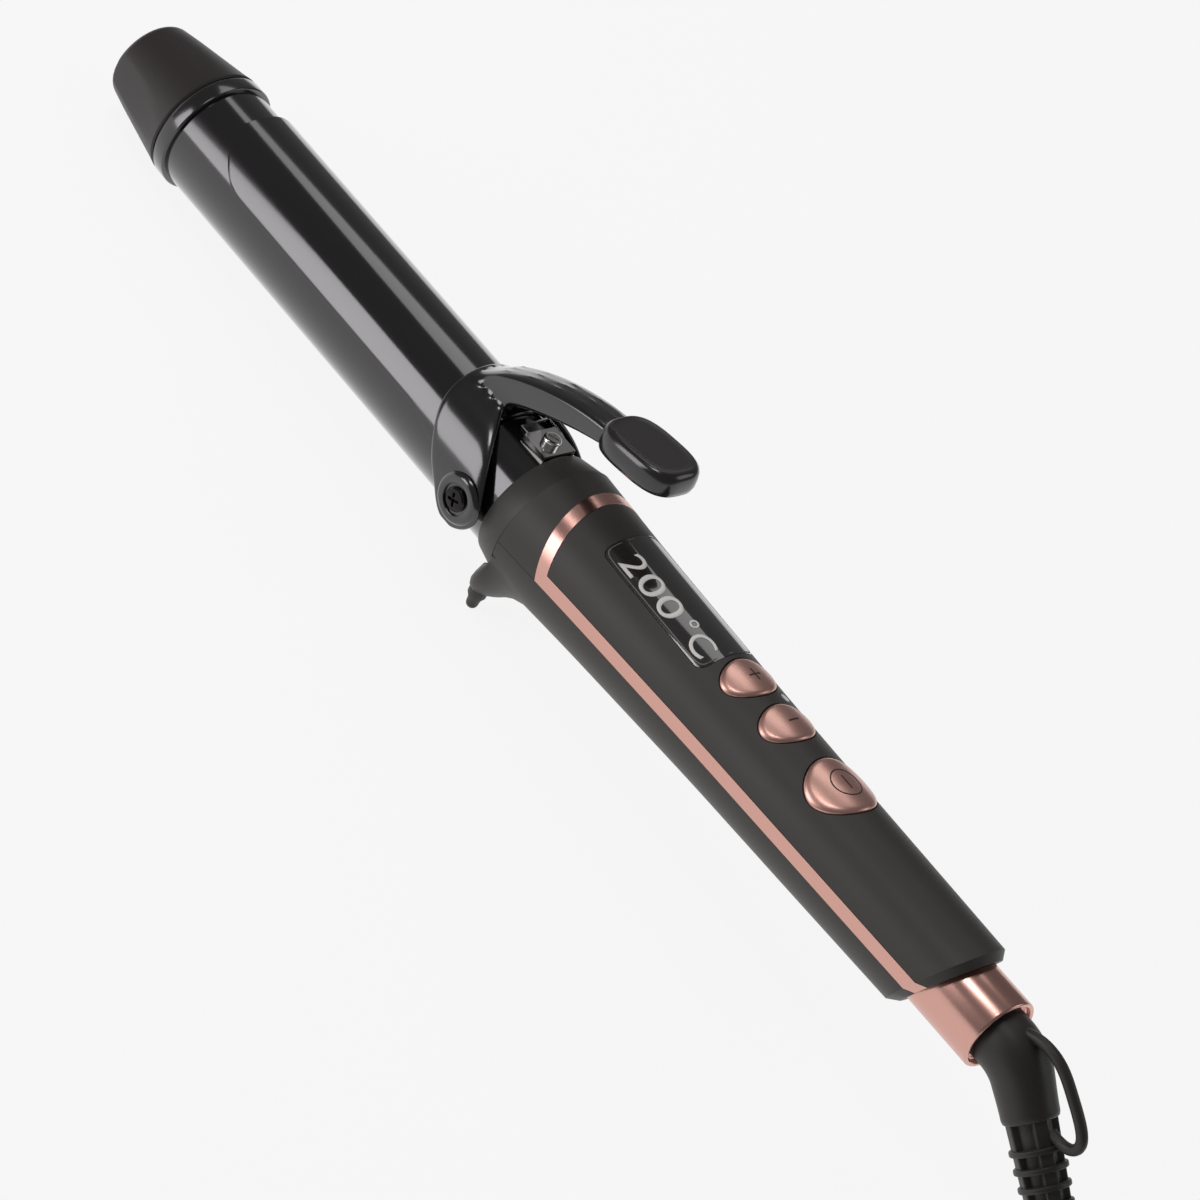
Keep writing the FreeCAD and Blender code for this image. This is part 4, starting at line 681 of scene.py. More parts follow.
# ---------------------------------------------------------------- clip and lever
@dataclass
class Clip:
    """Curved clip, the yoke with its ears and arm, and the thumb pad."""

    inner: float = 16.3
    wall: float = 1.0
    front: float = -129.5
    rear: float = -16.0
    side_z: float = 5.35
    rear_z: float = 2.3
    corner: tuple[float, float] = (17.0, 9.5)
    yoke_inner: float = 17.6
    yoke_outer: float = 19.6
    ear: float = 8.0
    pad: tuple[float, float, float] = (26.5, 18.5, 7.6)
    pad_tilt: float = 8.0

    def half_angle(self, x: float) -> float:
        """How far round the barrel the clip reaches at a place along it."""
        outer = self.inner + self.wall
        share = smoothstep((x + 38.0) / 16.0)
        low = self.side_z + (self.rear_z - self.side_z) * share
        full = math.acos(low / outer)
        ahead = x - self.front
        if ahead < self.corner[0]:
            width = outer * math.sin(full)
            part = 1 - ahead / self.corner[0]
            width -= self.corner[1] * (1 - math.sqrt(max(0.0, 1 - part * part)))
            return math.asin(min(1.0, width / outer))
        return full

    def plate(self) -> bmesh.types.BMesh:
        """Thin curved plate with long rounded front corners."""
        bm = bmesh.new()
        bmesh.ops.create_grid(bm, x_segments=72, y_segments=40, size=1.0)
        middle = self.inner + self.wall / 2
        for v in bm.verts:
            t = (v.co.x + 1) / 2
            x = self.front + (self.rear - self.front) * t ** 1.6
            angle = self.half_angle(x) * v.co.y
            v.co = Vector((x, middle * math.sin(angle), middle * math.cos(angle)))
        bmesh.ops.recalc_face_normals(bm, faces=bm.faces)
        bmesh.ops.solidify(bm, geom=bm.faces, thickness=self.wall)
        radius = [math.hypot(v.co.y, v.co.z) for v in bm.verts]
        shift = self.inner - min(radius)
        for v in bm.verts:
            r = math.hypot(v.co.y, v.co.z)
            v.co.y *= (r + shift) / r
            v.co.z *= (r + shift) / r
        bmesh.ops.recalc_face_normals(bm, faces=bm.faces)
        return soften(bm, 0.28, 3, 50)

    def yoke_rows(self) -> list[tuple[float, float, float, float]]:
        """Rows of the yoke from its top down one side: y, z, front x and rear x."""
        rows = []
        middle = (self.yoke_inner + self.yoke_outer) / 2
        over = ((0, -32.0, -19.8), (9.5, -32.0, -19.4), (19, -31.8, -17.6), (31, -31.4, -13.6), (44, -30.6, -10.0),
                (57, -28.6, -6.6), (70, -25.6, -3.4), (82, -22.6, -1.2))
        for angle, front, rear in over:
            a = math.radians(angle)
            rows.append((middle * math.sin(a), middle * math.cos(a), front, rear))
        for z, front, rear in ((-0.4, -20.2, 0.1), (-3.4, -17.0, -0.1), (-6.2, -14.6, -1.6), (-8.1, -12.2, -3.9), (-9.05, -9.6, -6.5)):
            rows.append((middle, z, front, rear))
        return rows

    def lever(self) -> bmesh.types.BMesh:
        """Yoke and arm as one flowing form, before it is smoothed."""
        half = self.yoke_rows()
        rows = [(-y, z, a, b) for y, z, a, b in reversed(half[1:])] + half
        count = len(rows)
        columns = (0.0, 0.14, 0.42, 0.72, 1.0)
        bm = bmesh.new()
        bmesh.ops.create_grid(bm, x_segments=count - 1, y_segments=len(columns) - 1, size=1.0)
        u_layer = bm.verts.layers.float.new("u")
        v_layer = bm.verts.layers.float.new("v")
        for v in bm.verts:
            row = round((v.co.x + 1) / 2 * (count - 1))
            column = round((v.co.y + 1) / 2 * (len(columns) - 1))
            y, z, front, rear = rows[row]
            v[u_layer] = (columns[column] - columns[1]) / (1 - columns[1])
            v[v_layer] = y / 6.1
            v.co = Vector((front + (rear - front) * columns[column], y, z))
        bmesh.ops.recalc_face_normals(bm, faces=bm.faces)
        top = max(bm.faces, key=lambda f: f.calc_center_median().z)
        if top.normal.z < 0:
            bmesh.ops.reverse_faces(bm, faces=bm.faces)
        bmesh.ops.solidify(bm, geom=bm.faces, thickness=2.0)
        low = min(math.hypot(v.co.y, v.co.z) for v in bm.verts if abs(v.co.y) < 1)
        shift = self.yoke_inner - low
        for v in bm.verts:
            if v.co.z > 0:
                r = math.hypot(v.co.y, v.co.z)
                v.co.y *= (r + shift) / r
                v.co.z *= (r + shift) / r
            else:
                v.co.y += math.copysign(shift, v.co.y)
        bmesh.ops.recalc_face_normals(bm, faces=bm.faces)
        root = [f for f in bm.faces if self.is_root(f, u_layer, v_layer)]
        top_arc = (Vector((-30.5, 0, 19.6)), Vector((-12.8, 0, 31.0)), Vector((13.0, 0, 38.4)))
        low_arc = (Vector((-19.5, 0, 18.4)), Vector((-3.0, 0, 27.4)), Vector((13.0, 0, 33.6)))
        for t in (0.16, 0.34, 0.54, 0.74, 0.92, 1.08):
            made = bmesh.ops.extrude_face_region(bm, geom=root)["geom"]
            bmesh.ops.delete(bm, geom=[f for f in root if f.is_valid], context="FACES_ONLY")
            high = arc_point(*top_arc, t)
            under = arc_point(*low_arc, max(0.0, t - 0.03))
            width = 6.2 - 0.6 * t
            for v in (g for g in made if isinstance(g, bmesh.types.BMVert)):
                u = v[u_layer]
                side = max(-1.0, min(1.0, v[v_layer]))
                v.co = high.lerp(under, u)
                v.co.y = width * side
                crown = 0.7 * (1 - side * side) * (1 - u)
                v.co.z += crown
            root = [g for g in made if isinstance(g, bmesh.types.BMFace)]
        bmesh.ops.remove_doubles(bm, verts=bm.verts, dist=1e-3)
        bmesh.ops.recalc_face_normals(bm, faces=bm.faces)
        return bm

    @staticmethod
    def is_root(face: bmesh.types.BMFace, u_layer: object, v_layer: object) -> bool:
        """Whether a face of the yoke's outside is one that the arm grows from."""
        middle = face.calc_center_median()
        if face.normal.z < 0.7 or math.hypot(middle.y, middle.z) < 18.9:
            return False
        return all(v[u_layer] > -0.01 and abs(v[v_layer]) < 1.05 for v in face.verts)

    def boss(self, side: int) -> bmesh.types.BMesh:
        """Raised rim round the screw's recess on one ear."""
        low, high = self.yoke_outer - 0.5, self.yoke_outer + 0.7
        bm = lathe([(low, 4.3), (high - 0.1, 4.3), (high, 4.7), (high, 6.0), (high - 0.35, 6.6), (low, 7.2)], steps=72, closed=True)
        soften(bm, 0.2, 3)
        turn = Matrix.Translation(HINGE) @ Matrix.Rotation(side * math.pi / 2, 4, "Z")
        bmesh.ops.transform(bm, matrix=turn, verts=bm.verts)
        return bm

    def thumb_pad(self) -> bmesh.types.BMesh:
        """Rounded pad with a slightly sunk flat oval on top."""
        length, width, height = self.pad
        levels = ((0.66, -0.5), (0.84, -0.47), (0.95, -0.38), (0.995, -0.2), (1.0, 0.05), (0.985, 0.24), (0.94, 0.38),
                  (0.87, 0.465), (0.81, 0.492), (0.785, 0.478), (0.76, 0.462), (0.55, 0.47), (0.3, 0.48))
        sections = [self.pad_ring(length / 2 - (1 - share) * width / 2, width / 2 * share, height * level) for share, level in levels]
        bm = loft(sections, steps=72)
        cap_z = height * 0.455
        for f in bm.faces:
            if all(v.co.z > cap_z for v in f.verts) and f.calc_center_median().xy.length < width * 0.66:
                inside = all(abs(v.co.y) <= width / 2 * 0.79 for v in f.verts)
                f.material_index = 1 if inside else 0
        turn = Matrix.Rotation(-math.radians(self.pad_tilt), 4, "Y")
        place = Matrix.Translation((HINGE.x + 17.6, 0, 36.4)) @ turn @ Matrix.Translation((length / 2, 0, 0))
        bmesh.ops.transform(bm, matrix=place, verts=bm.verts)
        return bm

    @staticmethod
    def pad_ring(half_x: float, half_y: float, z: float) -> Section:
        """One outline of the pad at a height."""
        return lambda a: Vector((*oval(half_x, half_y, 3.0, a), z))

    @staticmethod
    def hinge_screw(side: int) -> bmesh.types.BMesh:
        """Pan-head screw with a cross recess."""
        seat = 19.1
        bm = lathe([(7.5, 0.0), (7.5, 1.9), (seat, 1.9), (seat, 3.3), (seat + 1.1, 3.3), (seat + 1.6, 2.75), (seat + 1.84, 1.6), (seat + 1.87, 0.0)], steps=64)
        tools = []
        for quarter in (0, 1):
            slot = block((seat + 0.9, -1.9, -0.42), (seat + 3, 1.9, 0.42))
            bmesh.ops.rotate(slot, cent=(0, 0, 0), matrix=Matrix.Rotation(math.radians(20 + 90 * quarter), 3, "X"), verts=slot.verts)
            tools.append((slot, Cut.AWAY))
        bm = soften(carve(bm, *tools), 0.1, 2, 40)
        turn = Matrix.Translation(HINGE) @ Matrix.Rotation(side * math.pi / 2, 4, "Z")
        bmesh.ops.transform(bm, matrix=turn, verts=bm.verts)
        return bm

    def build(self) -> None:
        """Make and dress the clip's pieces and the hinge screws."""
        Piece("clip_shell", self.plate(), "gloss_black_coating", "clip_plate", Body.CLIP, AXES.barrel, ("clip_plate", "clip_rivet_left", "clip_rivet_right"), sharp=40).add()
        Piece("lever_yoke", self.lever(), "gloss_black_moulding", "clip_lever", Body.CLIP, AXES.barrel, ("clip_lever",), subdivide=3).add()
        Piece("ear_rims", joined([self.boss(1), self.boss(-1)]), "gloss_black_moulding", "clip_lever", Body.CLIP, AXES.barrel).add()
        Piece("thumb_pad", self.thumb_pad(), "pad_side_gloss", "thumb_rest", Body.CLIP, AXES.barrel, ("thumb_rest",), sharp=60, others=("pad_satin",)).add()
        for side, label in ((-1, "left"), (1, "right")):
            Piece(f"ear_screw_{label}", self.hinge_screw(side), "black_screw", f"hinge_screw_{label}", Body.IRON, AXES.barrel, (f"hinge_screw_{label}",)).add()


# ---------------------------------------------------------------- handle
@dataclass
class HandleForm:
    """The handle's outside form, which all its pieces share."""

    stations: tuple[tuple[float, float], ...] = ((8.1, 18.7), (34.0, 17.4), (84.0, 15.8), (168.5, 14.5))
    slant: float = 0.5
    slant_start: float = 122.0
    chamfer: tuple[float, float] = (2.3, 2.1)
    wall: float = 2.2

    @property
    def end(self) -> float:
        """Where the slanted end crosses the axis."""
        return self.stations[-1][0]

    def conical(self, x: float) -> float:
        """Radius on straight lines between the stations."""
        pairs = list(zip(self.stations, self.stations[1:]))
        (x0, r0), (x1, r1) = next((p for p in pairs if x <= p[1][0]), pairs[-1])
        return r0 + (r1 - r0) * (x - x0) / (x1 - x0)

    def radius(self, x: float) -> float:
        """Radius with the stations' corners eased, never outside the cones by much."""
        reach = 9.0
        count = 9
        total = sum(self.conical(x + reach * (2 * k / (count - 1) - 1)) for k in range(count))
        return min(total / count, self.conical(x) + 0.05)

    def height(self, x: float, y: float, proud: float = 0.0) -> float:
        """Height of the surface over the axis at a place seen from above."""
        r = self.radius(x) + proud
        return math.sqrt(max(0.01, r * r - y * y))

    def places(self, start: float) -> list[float]:
        """Places along the handle where its outline has a point."""
        found = [start]
        while found[-1] < self.end - self.chamfer[0] - 7:
            found.append(found[-1] + 6.0)
        return found + [self.end - self.chamfer[0]]

    def slanted(self, co: Vector) -> Vector:
        """Lean the last stretch so that the end face is slanted."""
        share = (co.x - self.slant_start) / (self.end - self.slant_start)
        co.x += self.slant * co.z * max(0.0, share)
        return co

    def skin(self, proud: float, depth: float, steps: int = 160) -> bmesh.types.BMesh:
        """A layer of the handle's skin between two offsets from its surface.

        Args:
            proud: how far the outside stands off the surface.
            depth: how deep the inside lies under it.
            steps: facets round the axis.

        Returns:
            The closed layer with its slanted, chamfered end.
        """
        long, drop = self.chamfer
        places = self.places(8.1)
        outline = [(x, self.radius(x) + proud) for x in places]
        outline.append((self.end + proud * 0.6, self.radius(self.end) - drop + proud * 0.6))
        outline.append((self.end - depth * 0.7, self.radius(self.end) - drop - depth * 0.7))
        outline += [(x, self.radius(x) - depth) for x in reversed(places)]
        return moved(lathe(outline, steps, closed=True), self.slanted)

    def wall_solid(self) -> bmesh.types.BMesh:
        """Both shells as one hollow solid with the hole for the swivel collar."""
        drop = self.chamfer[1]
        places = self.places(8.1)
        hole = 10.75
        outline = [(x, self.radius(x)) for x in places]
        outline += [(self.end, self.radius(self.end) - drop), (self.end, hole), (self.end - 3.0, hole),
                    (self.end - 3.0, self.radius(self.end) - self.wall)]
        outline += [(x, self.radius(x) - self.wall) for x in reversed(places[:-1])]
        return moved(lathe(outline, 176, closed=True), self.slanted)


FORM = HandleForm()


@dataclass
class Handle:
    """Collar, both shells, rose trim, display and indicator."""

    parting: float = -0.7
    trim_front: float = 22.4
    trim_width: float = 3.7
    trim_lean: float = 0.37
    window: tuple[float, float, float] = (30.5, 71.7, 9.8)
    window_corner: float = 2.5
    lens: tuple[float, float, float] = (87.0, 6.2, 1.3)
    foot_half: float = 34.0
    nub: tuple[float, float, float, float] = (4.0, 9.6, 1.65, 29.4)

    def collar(self) -> bmesh.types.BMesh:
        """Conical band between the barrel and the shells."""
        bm = lathe([(0.0, 16.3), (0.0, 16.95), (8.0, 18.7), (8.0, 15.9), (13.1, 15.9), (13.1, 14.15), (7.7, 14.15), (7.7, 16.3)], steps=144, closed=True)
        return soften(bm, 0.22, 3)

    def trim_space(self, grow: float) -> bmesh.types.BMesh:
        """Room of the hoop and the strips.

        Args:
            grow: clearance on every side.

        Returns:
            The closed space.
        """
        hoop = block((self.trim_front - grow, -40, self.parting), (self.trim_front + self.trim_width + grow, 40, 40))
        moved(hoop, lambda co: Vector((co.x - self.trim_lean * co.z, co.y, co.z)))
        strips = block((self.trim_front + 1, -40, self.parting - 0.001), (230, 40, self.parting + self.trim_width + grow))
        return carve(hoop, (strips, Cut.JOIN))

    def prism(self, grow: float) -> bmesh.types.BMesh:
        """Upright rounded prism of the window."""
        start, end, half = self.window
        bm = block((start - grow, -half - grow, 5), (end + grow, half + grow, 30))
        upright = [e for e in bm.edges if abs(e.verts[0].co.z - e.verts[1].co.z) > 5]
        bmesh.ops.bevel(bm, geom=upright, offset=self.window_corner, offset_type="OFFSET", segments=7, profile=0.5, affect="EDGES", material=-1)
        return bm

    def lens_bar(self, grow: float) -> bmesh.types.BMesh:
        """Upright bar of the indicator lens."""
        x, y, r = self.lens
        ring = lambda z: (lambda a: Vector((x + (r + grow) * math.cos(a), y + (r + grow) * math.sin(a), z)))
        return loft([ring(5), ring(30)], steps=32)

    def upper(self) -> bmesh.types.BMesh:
        """Upper shell with its openings and the trim's seat."""
        seat = carve(FORM.skin(1.0, 1.35), (self.trim_space(0.1), Cut.COMMON))
        holes = [self.prism(0.12), self.lens_bar(0.06)]
        for spec in Buttons.SPECS:
            holes.append(spec.prism(0.32))
        return carve(FORM.wall_solid(), (block((-20, -60, self.parting + 0.06), (260, 60, 60)), Cut.COMMON),
                     (seat, Cut.AWAY), (joined(holes), Cut.AWAY))

    def trim(self) -> bmesh.types.BMesh:
        """Rose hoop and strips let into the skin."""
        return carve(FORM.skin(0.06, 1.25), (self.trim_space(0.0), Cut.COMMON),
                     (block((-20, -60, self.parting + 0.02), (260, 60, 60)), Cut.COMMON))

    def foot(self) -> bmesh.types.BMesh:
        """The flare under the collar that the nubs stand on."""
        outline = [(36.0, 16.3), (28.0, 17.25), (18.0, 18.35), (13.4, 19.9), (10.2, 22.0), (7.8, 24.3), (5.6, 25.9), (3.8, 26.5),
                   (2.2, 26.1), (1.2, 24.8), (0.85, 22.6), (0.8, 20.4), (0.8, 18.95), (8.1, 18.95), (8.1, 16.2), (36.0, 15.4)]
        bm = bmesh.new()
        verts = [bm.verts.new((x, 0.0, r)) for x, r in outline]
        edges = [bm.edges.new(pair) for pair in zip(verts, verts[1:] + verts[:1])]
        half = math.radians(72)
        bmesh.ops.rotate(bm, cent=(0, 0, 0), matrix=Matrix.Rotation(math.pi - half, 3, "X"), verts=bm.verts)
        bmesh.ops.spin(bm, geom=verts + edges, cent=(0, 0, 0), axis=(1, 0, 0), angle=2 * half, steps=56, use_merge=False, use_duplicate=False)
        rim = [e for e in bm.edges if len(e.link_faces) == 1]
        bmesh.ops.holes_fill(bm, edges=rim, sides=0)
        moved(bm, lambda co: self.faded(co, half))
        bmesh.ops.recalc_face_normals(bm, faces=bm.faces)
        return bm

    def faded(self, co: Vector, half: float) -> Vector:
        """Let the flare run out towards both sides of the handle."""
        angle = abs(math.atan2(co.y, -co.z))
        share = 1 - smoothstep((angle - math.radians(20)) / (half - math.radians(20)))
        share = max(0.03, share)
        base_x = max(8.1, co.x)
        base_r = FORM.radius(base_x) - 0.25
        r = math.hypot(co.y, co.z)
        if r > base_r and co.x >= 8.1:
            fresh = base_r + (r - base_r) * share
        elif co.x < 8.1:
            fresh = base_r + (r - base_r) * share if r > 19.2 else r
            co.x = 8.1 + (co.x - 8.1) * share
            fresh = max(fresh, 18.95)
        else:
            fresh = r
        co.y *= fresh / r
        co.z *= fresh / r
        return co

    def nub_post(self, side: int) -> bmesh.types.BMesh:
        """One rounded nub that stands on the table."""
        x, y, r, depth = self.nub
        outline = [(18.0 + 4, 0.0), (18.0 + 4, r + 0.9), (depth - 4.6, r + 0.9), (depth - 3.2, r + 0.15), (depth - r, r)]
        for step in range(1, 8):
            angle = math.pi / 2 * step / 7
            outline.append((depth - r + r * math.sin(angle), r * math.cos(angle) if step < 7 else 0.0))
        bm = lathe(outline, steps=40)
        bmesh.ops.rotate(bm, cent=(0, 0, 0), matrix=Matrix.Rotation(math.pi / 2, 3, "Y"), verts=bm.verts)
        bmesh.ops.translate(bm, vec=(x, side * y, 0), verts=bm.verts)
        return bm

    def lower(self) -> bmesh.types.BMesh:
        """Lower shell with the flare, the nubs and its screw wells."""
        wells = []
        for x in (50.0, 133.0):
            ring = lambda z, x=x: (lambda a: Vector((x + 2.75 * math.cos(a), 2.75 * math.sin(a), z)))
            wells.append(loft([ring(-30), ring(-FORM.radius(x) + 3.3)], steps=40))
        return carve(FORM.wall_solid(), (block((-20, -60, -60), (260, 60, self.parting - 0.06)), Cut.COMMON),
                     (self.foot(), Cut.JOIN), (self.nub_post(1), Cut.JOIN), (self.nub_post(-1), Cut.JOIN), (joined(wells), Cut.AWAY))

    def build(self) -> None:
        """Make and dress the handle's pieces."""
        Piece("neck_band", self.collar(), "collar_satin", "neck_collar", place=AXES.barrel, replaces=("neck_collar",)).add()
        Piece("shell_upper", self.upper(), "soft_touch_charcoal", "upper_shell", replaces=("upper_shell",)).add()
        Piece("shell_lower", self.lower(), "soft_touch_charcoal", "lower_shell", replaces=("lower_shell",), sharp=38).add()
        Piece("rose_trim_band", self.trim(), "rose_trim", "accent_trim", replaces=("accent_trim",)).add()
        pane = carve(FORM.skin(0.03, 1.6), (self.prism(0.0), Cut.COMMON))
        Piece("display_pane", pane, "smoked_window", "display_window", replaces=("display_window",)).add()
        lens = carve(FORM.skin(0.0, 2.2), (self.lens_bar(0.0), Cut.COMMON))
        Piece("signal_lens", lens, "lens_dark", "indicator_lens", replaces=("indicator_lens",)).add()


@dataclass(frozen=True)
class Glyph:
    """One sign of the display: where it stands and how large it is."""

    sign: str
    middle: float
    low: float
    wide: float
    high: float


@dataclass
class Display:
    """The lit figures under the window, and the thin line round it."""

    glyphs: tuple[Glyph, ...] = (Glyph("2", 38.2, -8.6, 5.4, 6.3), Glyph("0", 45.4, -8.6, 6.6, 6.3), Glyph("0", 52.9, -8.6, 6.6, 6.3),
                                 Glyph("°", 60.0, -4.6, 2.6, 2.5), Glyph("C", 66.0, -8.6, 6.4, 6.3))

    @staticmethod
    def outline_mesh(glyph: Glyph) -> bmesh.types.BMesh:
        """Flat sign fitted to its size, fine enough to follow the curved pane."""
        curve = bpy.data.curves.new("sign", "FONT")
        curve.body = glyph.sign
        curve.resolution_u = 6
        obj = bpy.data.objects.new("sign", curve)
        bpy.context.scene.collection.objects.link(obj)
        bpy.context.view_layer.update()
        mesh = bpy.data.meshes.new_from_object(obj.evaluated_get(bpy.context.evaluated_depsgraph_get()))
        bpy.data.objects.remove(obj)
        bpy.data.curves.remove(curve)
        bm = bmesh.new()
        bm.from_mesh(mesh)
        bpy.data.meshes.remove(mesh)
        xs = [v.co.x for v in bm.verts]
        ys = [v.co.y for v in bm.verts]
        for v in bm.verts:
            v.co.x = glyph.middle + ((v.co.x - min(xs)) / (max(xs) - min(xs)) - 0.5) * glyph.wide
            v.co.y = glyph.low + (v.co.y - min(ys)) / (max(ys) - min(ys)) * glyph.high
        bmesh.ops.remove_doubles(bm, verts=bm.verts, dist=1e-4)
        for _ in range(3):
            long = [e for e in bm.edges if e.calc_length() > 1.2]
            if long:
                bmesh.ops.subdivide_edges(bm, edges=long, cuts=1)
                bmesh.ops.triangulate(bm, faces=bm.faces)
        return bm

    def laid(self, bm: bmesh.types.BMesh, proud: float) -> bmesh.types.BMesh:
        """Lay a flat pattern on the pane."""
        moved(bm, lambda co: Vector((co.x, co.y, FORM.height(co.x, co.y, proud))))
        bmesh.ops.recalc_face_normals(bm, faces=bm.faces)
        up = sum(f.normal.z for f in bm.faces)
        if up < 0:
            bmesh.ops.reverse_faces(bm, faces=bm.faces)
        return bm

    def build(self) -> None:
        """Make and dress the figures and the frame line."""
        signs = joined([self.laid(self.outline_mesh(g), 0.13) for g in self.glyphs])
        obj = Piece("display_figures", signs, "display_glyph", "lcd_module").add()
        self.thicken(obj, 0.06)
        ring = self.frame_ring(*Handle().window)
        obj = Piece("display_frame", self.laid(ring, 0.13), "display_line", "lcd_module").add()
        self.thicken(obj, 0.04)

    @staticmethod
    def frame_ring(start: float, end: float, half: float) -> bmesh.types.BMesh:
        """Thin rounded outline just inside the pane's edge."""
        mid_x, half_x = (start + end) / 2, (end - start) / 2

        def edge(inset: float) -> Section:
            return lambda a: Vector((mid_x + oval(half_x - inset, half - inset, 14.0, a)[0], oval(half_x - inset, half - inset, 14.0, a)[1], 0.0))

        bm = bmesh.new()
        turn = bm.verts.layers.float.new("turn")
        for v in bmesh.ops.create_circle(bm, cap_ends=False, segments=320, radius=1.0)["verts"]:
            v[turn] = math.atan2(v.co.y, v.co.x)
            v.co = edge(0.45)(v[turn])
        made = bmesh.ops.extrude_edge_only(bm, edges=list(bm.edges))["geom"]
        for v in (g for g in made if isinstance(g, bmesh.types.BMVert)):
            v.co = edge(0.7)(v[turn])
        return bm

    @staticmethod
    def thicken(obj: bpy.types.Object, depth: float) -> None:
        """Give a flat pattern a body with a modifier."""
        solid = obj.modifiers.new("body", "SOLIDIFY")
        solid.thickness = depth * MM
        solid.offset = -1.0


@dataclass(frozen=True)
class ButtonSpec:
    """One domed button."""

    name: str
    body: Body
    middle: float
    half_x: float
    half_y: float
    proud: float = 0.75

    def prism(self, grow: float) -> bmesh.types.BMesh:
        """Upright oval room of the button."""
        ring = lambda z: (lambda a: Vector((self.middle + (self.half_x + grow) * math.cos(a), (self.half_y + grow) * math.sin(a), z)))
        return loft([ring(5), ring(30)], steps=96)

    def top(self, x: float, y: float) -> float:
        """Height of the dome at a place."""
        share = math.hypot((x - self.middle) / self.half_x, y / self.half_y)
        edge = max(0.0, (share - 0.84) / 0.16)
        drop = 0.75 * (1 - math.sqrt(max(0.0, 1 - min(1.0, edge) ** 2)))
        crown = 0.35 * (1 - min(1.0, share) ** 2)
        return FORM.height(self.middle, y, self.proud) + crown - drop - 0.22

    def dome(self) -> bmesh.types.BMesh:
        """Cap with a rounded rim and a skirt."""
        def ring(share: float) -> Section:
            def at(a: float) -> Vector:
                x = self.middle + self.half_x * share * math.cos(a)
                y = self.half_y * share * math.sin(a)
                return Vector((x, y, self.top(x, y)))
            return at

        def skirt(a: float) -> Vector:
            low = ring(1.0)(a)
            low.z = FORM.height(self.middle, low.y, -1.5)
            return low

        shares = (1.0, 0.998, 0.99, 0.975, 0.95, 0.92, 0.88, 0.84, 0.74, 0.6, 0.45, 0.3, 0.15)
        return loft([skirt, *[ring(s) for s in shares]], steps=96)


class Buttons:
    """The two temperature buttons and the power button, with their symbols."""

    SPECS = (ButtonSpec("plus_button", Body.PLUS, 79.3, 6.1, 8.5), ButtonSpec("minus_button", Body.MINUS, 95.0, 6.1, 8.5),
             ButtonSpec("power_button", Body.POWER, 116.5, 9.0, 10.0, 0.85))

    @staticmethod
    def bar(spec: ButtonSpec, half_x: float, half_y: float, shift: float = 0.0) -> bmesh.types.BMesh:
        """Short printed bar laid on a button's dome."""
        bm = bmesh.new()
        bmesh.ops.create_grid(bm, x_segments=8, y_segments=8, size=1.0)
        return moved(bm, lambda co: Buttons.on_dome(spec, spec.middle + co.x * half_x, shift + co.y * half_y))

    @staticmethod
    def on_dome(spec: ButtonSpec, x: float, y: float) -> Vector:
        """Point just over a button's dome."""
        return Vector((x, y, spec.top(x, y) + 0.05))

    @staticmethod
    def ring(spec: ButtonSpec, half: float, width: float, shift: float) -> bmesh.types.BMesh:
        """Printed ring laid on a button's dome."""
        bm = bmesh.new()
        turn = bm.verts.layers.float.new("turn")
        for v in bmesh.ops.create_circle(bm, cap_ends=False, segments=96, radius=1.0)["verts"]:
            v[turn] = math.atan2(v.co.y, v.co.x)
            v.co = Buttons.on_dome(spec, spec.middle + (half - width) * math.cos(v[turn]), shift + (half - width) * math.sin(v[turn]))
        made = bmesh.ops.extrude_edge_only(bm, edges=list(bm.edges))["geom"]
        for v in (g for g in made if isinstance(g, bmesh.types.BMVert)):
            v.co = Buttons.on_dome(spec, spec.middle + half * math.cos(v[turn]), shift + half * math.sin(v[turn]))
        return bm

    def symbol(self, spec: ButtonSpec) -> bmesh.types.BMesh:
        """The sign printed on one button."""
        if spec.body is Body.PLUS:
            parts = [self.bar(spec, 2.0, 0.22, 0.9), self.bar(spec, 0.22, 2.0, 0.9)]
        elif spec.body is Body.MINUS:
            parts = [self.bar(spec, 0.25, 1.75, 0.9)]
        else:
            parts = [self.ring(spec, 4.4, 0.34, 0.4), self.bar(spec, 2.2, 0.2, 0.4)]
        bm = joined(parts)
        bmesh.ops.recalc_face_normals(bm, faces=bm.faces)
        for f in bm.faces:
            if f.normal.z < 0:
                f.normal_flip()
        return bm

    def build(self) -> None:
        """Make and dress the buttons."""
        for spec in self.SPECS:
            Piece(f"cap_{spec.name}", spec.dome(), "rose_button", spec.name, spec.body, replaces=(spec.name,), sharp=50).add()
            mark = Piece(f"sign_{spec.name}", self.symbol(spec), "symbol_ink", spec.name, spec.body).add()
            Display.thicken(mark, 0.05)


